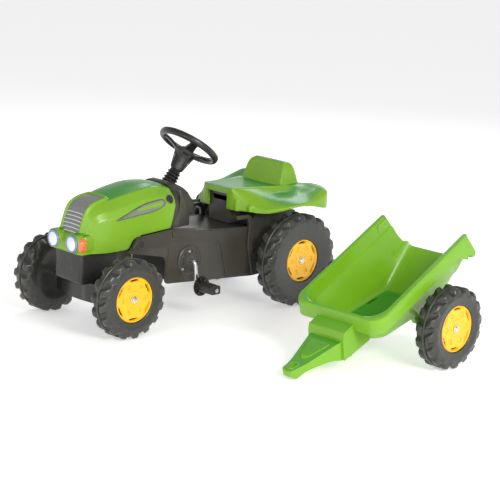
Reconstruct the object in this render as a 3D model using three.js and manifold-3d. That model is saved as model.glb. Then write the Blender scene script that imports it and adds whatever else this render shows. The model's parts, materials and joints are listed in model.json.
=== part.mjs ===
// A child's pedal tractor and its single-axle trailer, standing side by side.
// Millimetres. +X is the tractor's forward direction, +Y its left side, +Z up.
// While the set is drawn, x = 0 lies halfway between the tractor's axles, y = 0 is the
// tractor's centre plane and z = 0 is the floor. At the end the whole set is moved so that
// the origin is the bottom centre of its bounding box.

import * as THREE from 'three';
import { mergeVertices } from 'three/addons/utils/BufferGeometryUtils.js';
import Module from 'manifold-3d';

const wasm = await Module();
wasm.setup();

// ---------------------------------------------------------------- driving dimensions
const GAP = 0.3; // clearance between neighbouring solids
const ROUND = 24; // facets around a tyre
const FLAT = Math.cos(Math.PI / ROUND); // a tyre rests on one of its flats

const WHEELBASE = 622;
const FRONT_X = WHEELBASE / 2;
const REAR_X = -WHEELBASE / 2;

const SMALL_WHEEL = { radius: 110, width: 62 };
const LARGE_WHEEL = { radius: 137, width: 66 };
const FRONT_Z = SMALL_WHEEL.radius * FLAT;
const REAR_Z = LARGE_WHEEL.radius * FLAT;
const FRONT_OUTER_Y = 204; // outer face of a front wheel
const REAR_OUTER_Y = 213; // outer face of a rear wheel
const DISC_RADIUS = 62; // yellow wheel disc, the same on all wheels
const AXLE_RADIUS = 6;

const CHASSIS_HALF_WIDTH = 100;
const PANEL = 5; // thickness of the chassis mouldings

const CRANK = { x: 34, z: 162, arm: 68, lean: 0.15, rod: 6 };
const PITCH = 12.7; // drive chain pitch
const CHAINRING_TEETH = 18;
const SPROCKET_TEETH = 12;
const CHAIN_Y = 62;

const COLUMN_TILT = THREE.MathUtils.degToRad(36); // from the vertical, towards the driver
const STEERING_CENTRE = new THREE.Vector3(-40, 0, 465);
const STEERING_RADIUS = 92;

const TRAILER_YAW = THREE.MathUtils.degToRad(1.8);
const TRAILER_PITCH = THREE.MathUtils.degToRad(15.2); // nose down, the drawbar on the floor
const TRAILER_X = -191;
const TRAILER_Y = 676;
const TRAILER_OUTER_Y = 213; // outer face of a trailer wheel

// ---------------------------------------------------------------- materials
const paint = (colour, roughness, metalness = 0) =>
  new THREE.MeshStandardMaterial({ color: colour, roughness, metalness });
const GREEN = paint(0x57a423, 0.35);
const YELLOW = paint(0xf7c60a, 0.4);
const DARK = paint(0x3b3a36, 0.6);
const TYRE = paint(0x34332f, 0.7);
const RUBBER = paint(0x1d1d1c, 0.8);
const SILVER = paint(0xa9adab, 0.4, 0.3);
const LENS = paint(0xeef3f6, 0.15);
const AMBER = paint(0xf2661b, 0.3);
const STEEL = paint(0xb9bcc0, 0.25, 1);

// ---------------------------------------------------------------- solids
const solid = (geometry) => {
  const bare = geometry.clone();
  bare.deleteAttribute('normal');
  bare.deleteAttribute('uv');
  const merged = mergeVertices(bare, 1e-4);
  const corners = merged.index.array;
  const triangles = [];
  for (let i = 0; i < corners.length; i += 3) {
    const [a, b, c] = [corners[i], corners[i + 1], corners[i + 2]];
    if (a !== b && b !== c && c !== a) triangles.push(a, b, c);
  }
  return new wasm.Manifold(new wasm.Mesh({
    numProp: 3,
    vertProperties: new Float32Array(merged.attributes.position.array),
    triVerts: new Uint32Array(triangles),
  }));
};

const shell = (manifold) => {
  const mesh = manifold.getMesh();
  const geometry = new THREE.BufferGeometry();
  geometry.setAttribute('position', new THREE.BufferAttribute(mesh.vertProperties, 3));
  geometry.setIndex(new THREE.BufferAttribute(mesh.triVerts, 1));
  return geometry;
};

const join = (...geometries) => shell(geometries.map(solid).reduce((a, b) => a.add(b)));
const meet = (...geometries) => shell(geometries.map(solid).reduce((a, b) => a.intersect(b)));
const cut = (first, ...tools) =>
  shell(tools.map(solid).reduce((a, b) => a.subtract(b), solid(first)));

// A closed outline; a corner given as [x, y, r] is rounded to about radius r.
const outline = (corners) => {
  const shape = new THREE.Shape();
  corners.forEach((corner, i) => {
    const here = new THREE.Vector2(corner[0], corner[1]);
    const last = corners[(i + corners.length - 1) % corners.length];
    const next = corners[(i + 1) % corners.length];
    const before = new THREE.Vector2(last[0], last[1]).sub(here);
    const after = new THREE.Vector2(next[0], next[1]).sub(here);
    const radius = Math.min(corner[2] ?? 0, before.length() * 0.49, after.length() * 0.49);
    const start = radius > 0 ? before.setLength(radius).add(here) : here;
    if (i === 0) shape.moveTo(start.x, start.y);
    else shape.lineTo(start.x, start.y);
    if (radius === 0) return;
    const end = after.setLength(radius).add(here);
    shape.quadraticCurveTo(here.x, here.y, end.x, end.y);
  });
  shape.closePath();
  return shape;
};

const slab = (shape, depth, curveSegments = 3) =>
  new THREE.ExtrudeGeometry(shape, { depth, bevelEnabled: false, curveSegments });

// An outline in x and z, extruded across from y0 to y1.
const across = (corners, y0, y1, segments) =>
  slab(outline(corners), y1 - y0, segments).rotateX(Math.PI / 2).translate(0, y1, 0);

// An outline in x and y, extruded up from z0 to z1.
const upward = (corners, z0, z1, segments) =>
  slab(outline(corners), z1 - z0, segments).translate(0, 0, z0);

// An outline in y and z, extruded forward from x0 to x1.
const forward = (corners, x0, x1, segments) => {
  const turn = new THREE.Matrix4().makeBasis(
    new THREE.Vector3(0, 1, 0), new THREE.Vector3(0, 0, 1), new THREE.Vector3(1, 0, 0));
  return slab(outline(corners), x1 - x0, segments).applyMatrix4(turn).translate(x0, 0, 0);
};

const block = (x0, x1, y0, y1, z0, z1) =>
  new THREE.BoxGeometry(x1 - x0, y1 - y0, z1 - z0)
    .translate((x0 + x1) / 2, (y0 + y1) / 2, (z0 + z1) / 2);

const mirrored = (half) => [...half, ...half.map(([x, y, r]) => [x, -y, r]).reverse()];
const bothSides = (half) => [...half, ...half.map(([y, z, r]) => [-y, z, r]).reverse()];

// A round bar along Y, X or Z.
const barY = (radius, x, y0, y1, z, sides = 16) =>
  new THREE.CylinderGeometry(radius, radius, y1 - y0, sides).translate(x, (y0 + y1) / 2, z);
const barX = (radius, x0, x1, y, z, sides = 16) =>
  new THREE.CylinderGeometry(radius, radius, x1 - x0, sides)
    .rotateZ(Math.PI / 2).translate((x0 + x1) / 2, y, z);
const barZ = (radius, x, y, z0, z1, sides = 16) =>
  new THREE.CylinderGeometry(radius, radius, z1 - z0, sides)
    .rotateX(Math.PI / 2).translate(x, y, (z0 + z1) / 2);

// A profile of [radius, height] points turned about Y; closed between last and first.
const turned = (profile, sides) => {
  const points = [...profile, profile[0]].map(([r, y]) => new THREE.Vector2(r, y));
  const area = points.slice(1).reduce((sum, p, i) => sum + points[i].cross(p), 0);
  if (area < 0) points.reverse();
  return shell(solid(new THREE.LatheGeometry(points, sides)));
};

// A skin through equal rings of points, closed by a fan at each end.
const loft = (rings) => {
  const sides = rings[0].length;
  const points = rings.flat();
  const faces = [];
  for (let r = 0; r + 1 < rings.length; r += 1) {
    for (let s = 0; s < sides; s += 1) {
      const a = r * sides + s;
      const b = r * sides + (s + 1) % sides;
      faces.push(a, b + sides, b, a, a + sides, b + sides);
    }
  }
  [0, rings.length - 1].forEach((r) => {
    const middle = rings[r].reduce((sum, p) => sum.add(p), new THREE.Vector3())
      .divideScalar(sides);
    const hub = points.push(middle) - 1;
    for (let s = 0; s < sides; s += 1) {
      const a = r * sides + s;
      const b = r * sides + (s + 1) % sides;
      if (r === 0) faces.push(hub, a, b);
      else faces.push(hub, b, a);
    }
  });
  const geometry = new THREE.BufferGeometry().setFromPoints(points);
  geometry.setIndex(faces);
  return geometry;
};

const set = new THREE.Group();
const add = (name, geometry, material, parent = set) => {
  const mesh = new THREE.Mesh(shell(solid(geometry)), material);
  mesh.name = name;
  parent.add(mesh);
  return mesh;
};

// ---------------------------------------------------------------- wheels
// A wheel turns about Y. Its outer face looks along +Y, at y = half its width.
const DISC_DEPTH = 20;
const BORE = AXLE_RADIUS + GAP;

const tyre = ({ radius, width }) => {
  const half = width / 2;
  const seat = DISC_RADIUS + GAP;
  return turned([
    [BORE, -half + 12], [seat - 6, -half + 12], [seat + 4, -half], [radius - 12, -half],
    [radius, -half + 16], [radius, half - 16], [radius - 12, half], [seat + 6, half],
    [seat, half - 5], [seat, half - DISC_DEPTH], [BORE, half - DISC_DEPTH],
  ], ROUND).rotateY(Math.PI / ROUND);
};

const disc = ({ width }) => {
  const back = width / 2 - DISC_DEPTH + GAP;
  return turned([
    [BORE, back], [DISC_RADIUS, back], [DISC_RADIUS, back + 15.5], [DISC_RADIUS - 5, back + 15.5],
    [DISC_RADIUS - 8, back + 9], [BORE, back + 12],
  ], ROUND).rotateY(Math.PI / ROUND);
};

const cap = ({ width }) => {
  const back = width / 2 - DISC_DEPTH + GAP + 12 + GAP;
  return turned([[0, back], [10, back], [7, back + 6], [0, back + 6]], 10);
};

// side is +1 on the left and -1 on the right.
const wheel = (place, side, size, x, outerY, z, parent = set) => {
  const spot = new THREE.Group();
  spot.position.set(x, side * (outerY - size.width / 2), z);
  spot.rotation.z = side > 0 ? 0 : Math.PI;
  parent.add(spot);
  add(`${place}_tyre`, tyre(size), TYRE, spot);
  add(`${place}_disc`, disc(size), YELLOW, spot);
  add(`${place}_axle_cap`, cap(size), STEEL, spot);
};
const capBack = (outerY) => outerY - DISC_DEPTH + GAP + 12;

wheel('front_left', 1, SMALL_WHEEL, FRONT_X, FRONT_OUTER_Y, FRONT_Z);
wheel('front_right', -1, SMALL_WHEEL, FRONT_X, FRONT_OUTER_Y, FRONT_Z);
wheel('rear_left', 1, LARGE_WHEEL, REAR_X, REAR_OUTER_Y, REAR_Z);
wheel('rear_right', -1, LARGE_WHEEL, REAR_X, REAR_OUTER_Y, REAR_Z);

// ---------------------------------------------------------------- bonnet line
// Where the bonnet ends below, front to rear, and then up its rear edge.
const BONNET_SKIRT = [
  [412, 226, 8], [396, 213, 10], [315, 214], [245, 217, 6], [231, 242, 10], [210, 251, 8],
  [97, 259, 2],
];
const BONNET_REAR = [[86, 294], [77, 336], [74, 360, 14], [86, 374, 10], [103, 383]];
// Stations along the bonnet: x, height of the crown, half width of the crown panel, half
// width, and how far the edge of the crown panel lies below the crown.
const BONNET_STATIONS = [
  [60, 367, 56, 88, 12], [110, 380, 58, 89, 12], [160, 382, 60, 89, 12],
  [210, 375, 60, 89, 12], [255, 365, 57, 88, 10], [290, 355, 52, 85, 7],
  [315, 350, 48, 81, 5], [335, 343, 46, 75, 4], [349, 333, 45, 69, 4], [358, 319, 45, 63, 4],
  [365, 300, 44, 58, 4], [372, 278, 43, 54, 4], [378, 250, 42, 51, 4],
];
const BONNET_WALL = 4;
const BONNET_FLOOR = 205;

// Half a section: flank, shoulder, crease and gently domed crown panel.
const bonnetRing = ([x, crown, crease, half, drop], inset) => {
  const w = half - inset;
  const c = crease - inset * 0.5;
  const top = crown - inset;
  const ring = [
    [-w, BONNET_FLOOR - inset * 4], [-w, top - 84], [-w + 3, top - 56],
    [-(w * 0.62 + c * 0.38), top - drop - 19], [-c, top - drop],
    [-c * 0.6, top - drop / 4], [0, top],
  ];
  const right = ring.slice(0, -1).map(([y, z]) => [-y, z]).reverse();
  return [...ring, ...right].map(([y, z]) => new THREE.Vector3(x, y, z));
};

const bonnetLoft = (inset, rearShift = 0) => loft(BONNET_STATIONS.map((station, i) => {
  const last = i === BONNET_STATIONS.length - 1;
  const x = station[0] - (last ? inset : 0) - (i === 0 ? rearShift : 0);
  return bonnetRing([x, ...station.slice(1)], inset);
}));

// ---------------------------------------------------------------- chassis
// Side panels: deep tub between the axles, arch over the front wheels, rear frame.
const DECK_FRONT_X = 101;
const SIDE_OUTLINE = [
  [120, 104, 10], [-216, 82, 8], [-262, 85, 10], [-372, 112, 14], [-384, 160, 6],
  [-384, 262, 14], [-217, 262, 6], [-206, 230, 10], [10, 243], [10, 251],
  [93, 257.5], [209, 249.5, 8], [229.5, 241, 8], [243.5, 215.5, 4], [256, 212], [245, 206, 3],
  [178, 193, 12], [124, 182, 10], [119, 167, 8],
];
const sidePanel = (side) => {
  const inner = CHASSIS_HALF_WIDTH - PANEL;
  const plate = across(SIDE_OUTLINE, inner, CHASSIS_HALF_WIDTH);
  const boss = barY(13, 215, CHASSIS_HALF_WIDTH - 1, CHASSIS_HALF_WIDTH + 2, 232);
  const rib = across(
    [[-140, 258], [-186, 258, 8], [-190, 240], [-184, 180], [-208, 96], [-222, 96],
      [-200, 180], [-204, 246, 10], [-196, 268, 8], [-140, 268]],
    CHASSIS_HALF_WIDTH - 1, CHASSIS_HALF_WIDTH + 10);
  const panel = cut(
    join(plate, boss, rib),
    barY(9, CRANK.x, inner - 1, CHASSIS_HALF_WIDTH + 1, CRANK.z),
    barY(BORE + 2, REAR_X, inner - 1, CHASSIS_HALF_WIDTH + 1, REAR_Z));
  return side > 0 ? panel : shell(solid(panel).mirror([0, 1, 0]));
};
add('chassis_side_left', sidePanel(1), DARK);
add('chassis_side_right', sidePanel(-1), DARK);

// Deck: front wall, floor of the step-through, seat base and rear wall, in one moulding.
const DECK_HALF = CHASSIS_HALF_WIDTH - PANEL - GAP;
add('chassis_deck', across([
  [DECK_FRONT_X, 108], [DECK_FRONT_X, 244, 6], [8, 242], [-206, 229, 6], [-217, 261, 6],
  [-383, 261, 10], [-383, 122], [-378, 122], [-378, 255], [-222, 255, 4], [-212, 223, 4],
  [DECK_FRONT_X - 5, 238, 4], [DECK_FRONT_X - 5, 108],
], -DECK_HALF, DECK_HALF), DARK);

// Nose block: carries the kingpin, between the bonnet and the front axle.
const KINGPIN_RADIUS = 8;
const NOSE = { rear: 262, front: 384, half: 60, bottom: 130 };
const noseRibs = [-40, -20, 0, 20, 40].map((y) =>
  block(NOSE.front - 2, NOSE.front + 3, y - 3, y + 3, NOSE.bottom + 6, 206));
add('nose_block', cut(
  join(
    across([
      [NOSE.rear, NOSE.bottom + 20, 6], [NOSE.rear + 20, NOSE.bottom, 8],
      [NOSE.front, NOSE.bottom, 8], [NOSE.front, 211], [315, 211], [NOSE.rear, 212.5],
    ], -NOSE.half, NOSE.half),
    ...noseRibs),
  barZ(KINGPIN_RADIUS + GAP, FRONT_X, 0, NOSE.bottom - 1, 215)), DARK);
add('nose_bridge', across([
  [150, 188], [NOSE.rear - GAP, 208], [NOSE.rear - GAP, 216], [150, 200],
], -40, -14), DARK);
add('kingpin', barZ(KINGPIN_RADIUS, FRONT_X, 0, 118, 196), STEEL);

// ---------------------------------------------------------------- bonnet
const HEADLIGHT = { x: 402, y: 40, z: 242, radius: 24, housing: 28.5 };
// Silver grille panel laid over the sloping nose, inside a raised frame.
const GRILLE = { rear: 290, foot: 264, half: 36, lift: 3, frame: 9, frameLift: 6 };
const skirtCutter = across(
  [...BONNET_SKIRT, ...BONNET_REAR, [103, 420], [420, 420]], -120, 120);
const housing = (side, grow = 0) => barX(HEADLIGHT.housing + grow, 340, HEADLIGHT.x,
  side * HEADLIGHT.y, HEADLIGHT.z, 24);
const chinPlan = (grow) => mirrored([
  [330, 66 + grow], [386, 66 + grow, 26], [404 + grow, 42, 10],
]);
const chin = meet(
  across([[350, 214], [390, 214, 8], [404, 226, 8], [400, 246, 8], [380, 264, 8], [350, 264]],
    -68, 68),
  upward(chinPlan(0), 200, 270));
const grillePatch = (inset, grow) => meet(
  bonnetLoft(inset),
  block(GRILLE.rear - grow, 400, -GRILLE.half - grow, GRILLE.half + grow, GRILLE.foot, 400));
const grilleFrame = cut(
  grillePatch(-GRILLE.frameLift, GRILLE.frame),
  block(GRILLE.rear - GAP, 420, -GRILLE.half - GAP, GRILLE.half + GAP, 200, 420));
const lampSeat = (side) =>
  barX(HEADLIGHT.radius + GAP, HEADLIGHT.x, 420, side * HEADLIGHT.y, HEADLIGHT.z, 24);
add('bonnet', cut(
  join(
    cut(meet(join(bonnetLoft(0), grilleFrame), skirtCutter), bonnetLoft(BONNET_WALL, 20)),
    chin, housing(1), housing(-1)),
  lampSeat(1), lampSeat(-1)), GREEN);
add('grille', cut(
  grillePatch(-GRILLE.lift, 0), bonnetLoft(-GAP), upward(chinPlan(GAP), 200, 264 + GAP),
  housing(1, GAP), housing(-1, GAP)), SILVER);

const PLUG_TILT = THREE.MathUtils.degToRad(19); // the shoulder of the bonnet leans inwards
[1, -1].forEach((side) => {
  const hand = side > 0 ? 'left' : 'right';
  const lens = barX(HEADLIGHT.radius, HEADLIGHT.x + GAP, HEADLIGHT.x + 5,
    side * HEADLIGHT.y, HEADLIGHT.z, 24);
  add(`headlight_${hand}`, lens, LENS);
  const lamp = cut(
    across([[373, 221, 8], [400, 221, 5], [400, 259, 5], [373, 259, 8]], 60, 75),
    upward(chinPlan(GAP), 210, 270), housing(1, GAP));
  add(`indicator_${hand}`, side > 0 ? lamp : shell(solid(lamp).mirror([0, 1, 0])), AMBER);
  const plug = cut(
    new THREE.CylinderGeometry(13, 13, 8, 20).rotateX(PLUG_TILT).translate(98, 81, 338),
    bonnetLoft(-GAP));
  add(`bonnet_plug_${hand}`, side > 0 ? plug : shell(solid(plug).mirror([0, 1, 0])), RUBBER);
});

// ---------------------------------------------------------------- steering
// Distances along the column are measured down from the centre of the steering wheel rim.
const columnUp = new THREE.Vector3(-Math.sin(COLUMN_TILT), 0, Math.cos(COLUMN_TILT));
const onColumn = (down) => STEERING_CENTRE.clone().addScaledVector(columnUp, -down);
const columnFore = new THREE.Vector3(Math.cos(COLUMN_TILT), 0, Math.sin(COLUMN_TILT));
const columnTurn = new THREE.Quaternion().setFromRotationMatrix(
  new THREE.Matrix4().makeBasis(columnFore, columnUp, new THREE.Vector3(0, -1, 0)));
const column = new THREE.Group();
column.position.copy(STEERING_CENTRE);
column.quaternion.copy(columnTurn);
set.add(column);
const placedOnColumn = (geometry) => geometry.clone()
  .applyQuaternion(columnTurn).translate(...STEERING_CENTRE.toArray());

const HUB_END = -82;
const RIM_TUBE = 9;
const rim = turned([
  [STEERING_RADIUS - 2 * RIM_TUBE, -4], [STEERING_RADIUS - 13, -11], [STEERING_RADIUS - 3, -8],
  [STEERING_RADIUS, 0], [STEERING_RADIUS - 3, 8], [STEERING_RADIUS - 13, 9],
], 28);
const hub = turned([
  [0, -16], [30, -18], [34, -26], [20, -44], [15, HUB_END], [0, HUB_END],
], 16);
// A spoke reaches from the hub to the rim; bearing 0 is the foremost point of the wheel.
const spoke = (bearing) => {
  const length = STEERING_RADIUS - RIM_TUBE;
  return slab(
    outline([[12, -34], [46, -11], [length, -3], [length, 5], [46, -3], [12, -18]]), 24)
    .translate(0, 0, -12).rotateY(bearing);
};
const SHAFT_BORE = 6 + GAP;
const spokes = [0, 1, 2].map((i) => spoke(Math.PI + i * 2 * Math.PI / 3));
add('steering_wheel', cut(
  join(rim, hub, ...spokes),
  new THREE.CylinderGeometry(SHAFT_BORE, SHAFT_BORE, 60, 12).translate(0, HUB_END + 25, 0),
), RUBBER, column);

// The shaft runs down the column and is bent upright where it enters the axle's tail.
const SHAFT_TOP = 34;
const SHAFT_BEND = 318;
const TAIL_PIN_X = 163;
const shaftPath = new THREE.CurvePath();
const bendStart = onColumn(SHAFT_BEND);
const bendCorner = onColumn(SHAFT_BEND + 18);
const pinTop = new THREE.Vector3(TAIL_PIN_X, 0, bendCorner.z - 22);
const pinFoot = new THREE.Vector3(TAIL_PIN_X, 0, 90);
shaftPath.add(new THREE.LineCurve3(onColumn(SHAFT_TOP), bendStart));
shaftPath.add(new THREE.QuadraticBezierCurve3(bendStart, bendCorner, pinTop));
shaftPath.add(new THREE.LineCurve3(pinTop, pinFoot));
const circle = (radius, sides) => new THREE.Shape(
  Array.from({ length: sides }, (_, i) => new THREE.Vector2(
    radius * Math.cos(i * 2 * Math.PI / sides), radius * Math.sin(i * 2 * Math.PI / sides))));
const rod = (path, radius, steps, sides = 8) => new THREE.ExtrudeGeometry(
  circle(radius, sides), { extrudePath: path, steps, bevelEnabled: false });
add('steering_shaft', rod(shaftPath, AXLE_RADIUS, 36), STEEL);

// Rubber bellows round the column, and the dark console that carries it.
const BELLOWS_TOP = -84;
const BELLOWS_FOOT = -134;
const FOLDS = 5;
const bellowsSide = Array.from({ length: FOLDS * 2 + 1 }, (_, i) => {
  const along = i / (FOLDS * 2);
  const radius = 14 + 4 * along + (i % 2 ? 5 : 0);
  return [radius, BELLOWS_TOP + (BELLOWS_FOOT - BELLOWS_TOP) * along];
});
add('column_bellows', turned(
  [[9, BELLOWS_TOP], ...bellowsSide, [9, BELLOWS_FOOT]], 16), RUBBER, column);

const consoleSide = across([
  [95, 259], [84.5, 294], [75.5, 336], [72.5, 360, 12], [80, 373, 6], [62, 380, 8], [30, 362, 6],
  [14, 341, 8], [-12, 318, 10], [-17, 290, 8], [8, 282, 6], [8, 252.5],
], -84, 84);
const consolePlan = upward(
  mirrored([[120, 84], [62, 84, 10], [-24, 56, 14]]), 240, 400);
const consoleSection = forward(bothSides([
  [84, 240], [84, 332, 20], [54, 368, 12], [20, 383, 10],
]), -40, 130);
const consoleHollow = across([
  [89, 250], [79, 294], [70, 336], [67, 356], [60, 366], [34, 352], [-6, 314], [-10, 296],
  [14, 286], [14, 250],
], -42, 42);
add('console', cut(
  meet(consoleSide, consolePlan, consoleSection), consoleHollow,
  placedOnColumn(new THREE.CylinderGeometry(11, 11, 170, 16).translate(0, -175, 0)),
  placedOnColumn(new THREE.CylinderGeometry(24, 24, 80, 20).translate(0, -94.5 + GAP, 0)),
), DARK);

// ---------------------------------------------------------------- front axle
const BEAM = { half: 134, bottom: 74, top: 127 };
const SLOT = { front: 194, rear: 150, half: 10 };
const beamPlan = upward(mirrored([
  [FRONT_X - 22, BEAM.half], [FRONT_X + 8, BEAM.half, 8], [FRONT_X + 26, 96, 30],
  [FRONT_X + 36, 30, 20],
]), BEAM.bottom, BEAM.top);
const tail = cut(
  upward(mirrored([[SLOT.rear - 12, 18, 10], [FRONT_X - 10, 30]]), 98, 104),
  upward(mirrored([[SLOT.rear, SLOT.half, 4], [SLOT.front, SLOT.half, 4]]), 90, 110));
add('front_axle_beam', cut(
  join(beamPlan, tail),
  barZ(KINGPIN_RADIUS + GAP, FRONT_X, 0, 117.5, BEAM.top + 1),
  barY(BORE, FRONT_X, -BEAM.half - 1, BEAM.half + 1, FRONT_Z, 12)), DARK);
const frontCap = capBack(FRONT_OUTER_Y);
add('front_axle', barY(AXLE_RADIUS, FRONT_X, -frontCap, frontCap, FRONT_Z, 12), STEEL);

// ---------------------------------------------------------------- drive
const teethRadius = (teeth) => teeth * PITCH / (2 * Math.PI);
const RING_R = teethRadius(CHAINRING_TEETH);
const SPROCKET_R = teethRadius(SPROCKET_TEETH);
const CHAIN_CLEARANCE = 0.8;
const CHAIN_THICK = 5;

// A toothed wheel in x and z, lying across Y.
const toothed = (radius, teeth, bore, x, z) => {
  const corners = [];
  for (let i = 0; i < teeth; i += 1) {
    const a = (i / teeth) * 2 * Math.PI;
    const step = Math.PI / teeth;
    corners.push([x + radius * Math.cos(a), z + radius * Math.sin(a)]);
    corners.push([x + (radius - 4) * Math.cos(a + step), z + (radius - 4) * Math.sin(a + step)]);
  }
  return cut(across(corners, CHAIN_Y - 1.5, CHAIN_Y + 1.5),
    barY(bore, x, CHAIN_Y - 3, CHAIN_Y + 3, z, 12));
};
const CRANK_BORE = CRANK.rod + GAP;
add('chainring', toothed(RING_R, CHAINRING_TEETH, CRANK_BORE, CRANK.x, CRANK.z), STEEL);
add('rear_sprocket', toothed(SPROCKET_R, SPROCKET_TEETH, BORE, REAR_X, REAR_Z), STEEL);

// The chain is one closed loop round both toothed wheels.
const loopOutline = (extra) => {
  const big = RING_R + extra;
  const small = SPROCKET_R + extra;
  const dx = REAR_X - CRANK.x;
  const dz = REAR_Z - CRANK.z;
  const run = Math.atan2(dz, dx);
  const spread = Math.acos((big - small) / Math.hypot(dx, dz));
  const corners = [];
  const arc = (cx, cz, radius, from, to, steps) => {
    for (let i = 0; i <= steps; i += 1) {
      const a = from + (to - from) * i / steps;
      corners.push([cx + radius * Math.cos(a), cz + radius * Math.sin(a)]);
    }
  };
  arc(CRANK.x, CRANK.z, big, run + spread, run + 2 * Math.PI - spread, 16);
  arc(REAR_X, REAR_Z, small, run - spread, run + spread, 12);
  return corners;
};
add('drive_chain', cut(
  across(loopOutline(CHAIN_CLEARANCE + CHAIN_THICK), CHAIN_Y - 3, CHAIN_Y + 3),
  across(loopOutline(CHAIN_CLEARANCE), CHAIN_Y - 5, CHAIN_Y + 5)), STEEL);

const rearCap = capBack(REAR_OUTER_Y);
add('rear_axle', barY(AXLE_RADIUS, REAR_X, -rearCap, rearCap, REAR_Z, 12), STEEL);

// One bent steel rod makes the crank: pedal pin, arm, shaft, arm, pedal pin.
const COVER_OUT = CHASSIS_HALF_WIDTH + 8;
const ARM_Y = 126;
const PEDAL = { inner: 141, outer: 206, flange: 29, pin: 210 };
const foot = new THREE.Vector3(
  -CRANK.arm * Math.sin(CRANK.lean), 0, -CRANK.arm * Math.cos(CRANK.lean));
const crankCentre = new THREE.Vector3(CRANK.x, 0, CRANK.z);
const crankPoint = (y, reach) => crankCentre.clone().addScaledVector(foot, reach).setY(y);
const crankPath = new THREE.CurvePath();
const crankStations = [
  crankPoint(PEDAL.pin, 1), crankPoint(ARM_Y, 1), crankPoint(ARM_Y, 0),
  crankPoint(-ARM_Y, 0), crankPoint(-ARM_Y, -1), crankPoint(-PEDAL.pin, -1),
];
const BEND = 12;
crankStations.forEach((point, i) => {
  if (i === 0) return;
  const last = crankStations[i - 1];
  const along = point.clone().sub(last).normalize();
  const from = i === 1 ? last : last.clone().addScaledVector(along, BEND);
  const atEnd = i === crankStations.length - 1;
  const to = atEnd ? point : point.clone().addScaledVector(along, -BEND);
  crankPath.add(new THREE.LineCurve3(from, to));
  if (atEnd) return;
  const onward = crankStations[i + 1].clone().sub(point).normalize();
  crankPath.add(new THREE.QuadraticBezierCurve3(
    to, point, point.clone().addScaledVector(onward, BEND)));
});
add('crank', rod(crankPath, CRANK.rod, 48), STEEL);

[1, -1].forEach((side) => {
  const hand = side > 0 ? 'left' : 'right';
  const centre = crankPoint(0, side);
  const flange = barY(PEDAL.flange, 0, PEDAL.inner, PEDAL.inner + 6, 0, 20);
  const tread = across(
    [[-17, -12, 4], [17, -12, 4], [17, 12, 4], [-17, 12, 4]], PEDAL.inner + 3, PEDAL.outer);
  const grooves = [-1, 1].map((end) =>
    block(-20, 20, PEDAL.outer - 22, PEDAL.outer - 18, end * 10.5 - 1.5, end * 10.5 + 1.5));
  const pedal = cut(join(flange, tread), ...grooves,
    barY(CRANK_BORE, 0, PEDAL.inner - 2, PEDAL.outer + 2, 0, 12));
  const handed = side > 0 ? pedal : shell(solid(pedal).mirror([0, 1, 0]));
  add(`pedal_${hand}`, handed.translate(centre.x, 0, centre.z), RUBBER);

  const cover = cut(
    turned([[0, 0], [42, 0], [42, 3], [36, 6], [14, 7], [14, 8 - GAP], [0, 8 - GAP]], 24)
      .translate(CRANK.x, CHASSIS_HALF_WIDTH + GAP, CRANK.z),
    barY(CRANK_BORE + 0.7, CRANK.x, CHASSIS_HALF_WIDTH - 2, COVER_OUT + 2, CRANK.z));
  add(`crank_cover_${hand}`, side > 0 ? cover : shell(solid(cover).mirror([0, 1, 0])), DARK);
});

// ---------------------------------------------------------------- seat
const SEAT_WALL = 5;
const seatPlan = (inset) => mirrored([
  [-156 - inset, 58 - inset, 14], [-214 - inset, 142 - inset, 20],
  [-292 - inset, 198 - inset, 26], [-405 + inset, 198 - inset, 22],
  [-440 + inset, 176 - inset, 14], [-436 + inset, 128, 16], [-414 + inset, 70, 12],
]);
// Stations along the seat: x, then half a section from the pan out to the mudguard's edge
// as [y, z] points; the last one is the lower edge.
const SEAT_STATIONS = [
  [-150, [56, 337], [58, 326], [59, 310], [59, 294], [59, 277]],
  [-170, [58, 340], [66, 332], [78, 312], [84, 294], [85, 275]],
  [-215, [62, 338], [88, 324], [120, 298], [142, 282], [143, 272]],
  [-252, [66, 336], [104, 328], [140, 311], [169, 292], [170, 281]],
  [-295, [78, 335], [118, 332], [160, 323], [196, 306], [199, 296]],
  [-350, [84, 335], [122, 334], [166, 328], [196, 312], [199, 292]],
  [-392, [86, 335], [124, 337], [170, 334], [196, 316], [199, 282]],
  [-422, [86, 334], [124, 340], [168, 337], [192, 316], [198, 276]],
  [-446, [86, 316], [124, 320], [160, 316], [184, 300], [190, 272]],
];
const seatRing = ([x, ...half], inset) => {
  const last = half.length - 1;
  const side = half.map(([y, z], i) =>
    [y - inset, i === last ? z - inset * 8 : z - inset]);
  const left = [[0, side[0][1] - 1], ...side];
  const right = side.map(([y, z]) => [-y, z]).reverse();
  return [...right, ...left].map(([y, z]) => new THREE.Vector3(x, y, z));
};
const seatBody = (inset) => meet(
  upward(seatPlan(inset), 150, 420),
  loft(SEAT_STATIONS.map((station) => seatRing(station, inset)).reverse()));
const backRest = meet(
  across([[-326, 322], [-334, 342, 12], [-352, 392, 14], [-364, 400, 8], [-388, 396, 12],
    [-408, 326, 6], [-406, 322]], -84, 84),
  forward(bothSides([[82, 310], [77, 376, 22], [62, 401, 24]]), -430, -280));
const backHollow = meet(
  across([[-334, 290], [-340, 342], [-357, 388], [-366, 394], [-384, 391], [-401, 326],
    [-399, 290]], -84, 84),
  forward(bothSides([[77, 280], [72, 374], [58, 395]]), -430, -280));
const seatCutOut = block(-170, -140, -38, 38, 240, 321);
add('seat', cut(join(seatBody(0), backRest), seatBody(SEAT_WALL), backHollow, seatCutOut), GREEN);

add('seat_column', cut(
  across([[-168, 232.5], [-168, 326, 4], [-250, 326, 4], [-250, 262.5], [-215, 262.5],
    [-204.5, 232.5]], -44, 44),
  across([[-176, 200], [-176, 314], [-242, 314], [-242, 200]], -37, 37)), DARK);

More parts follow.
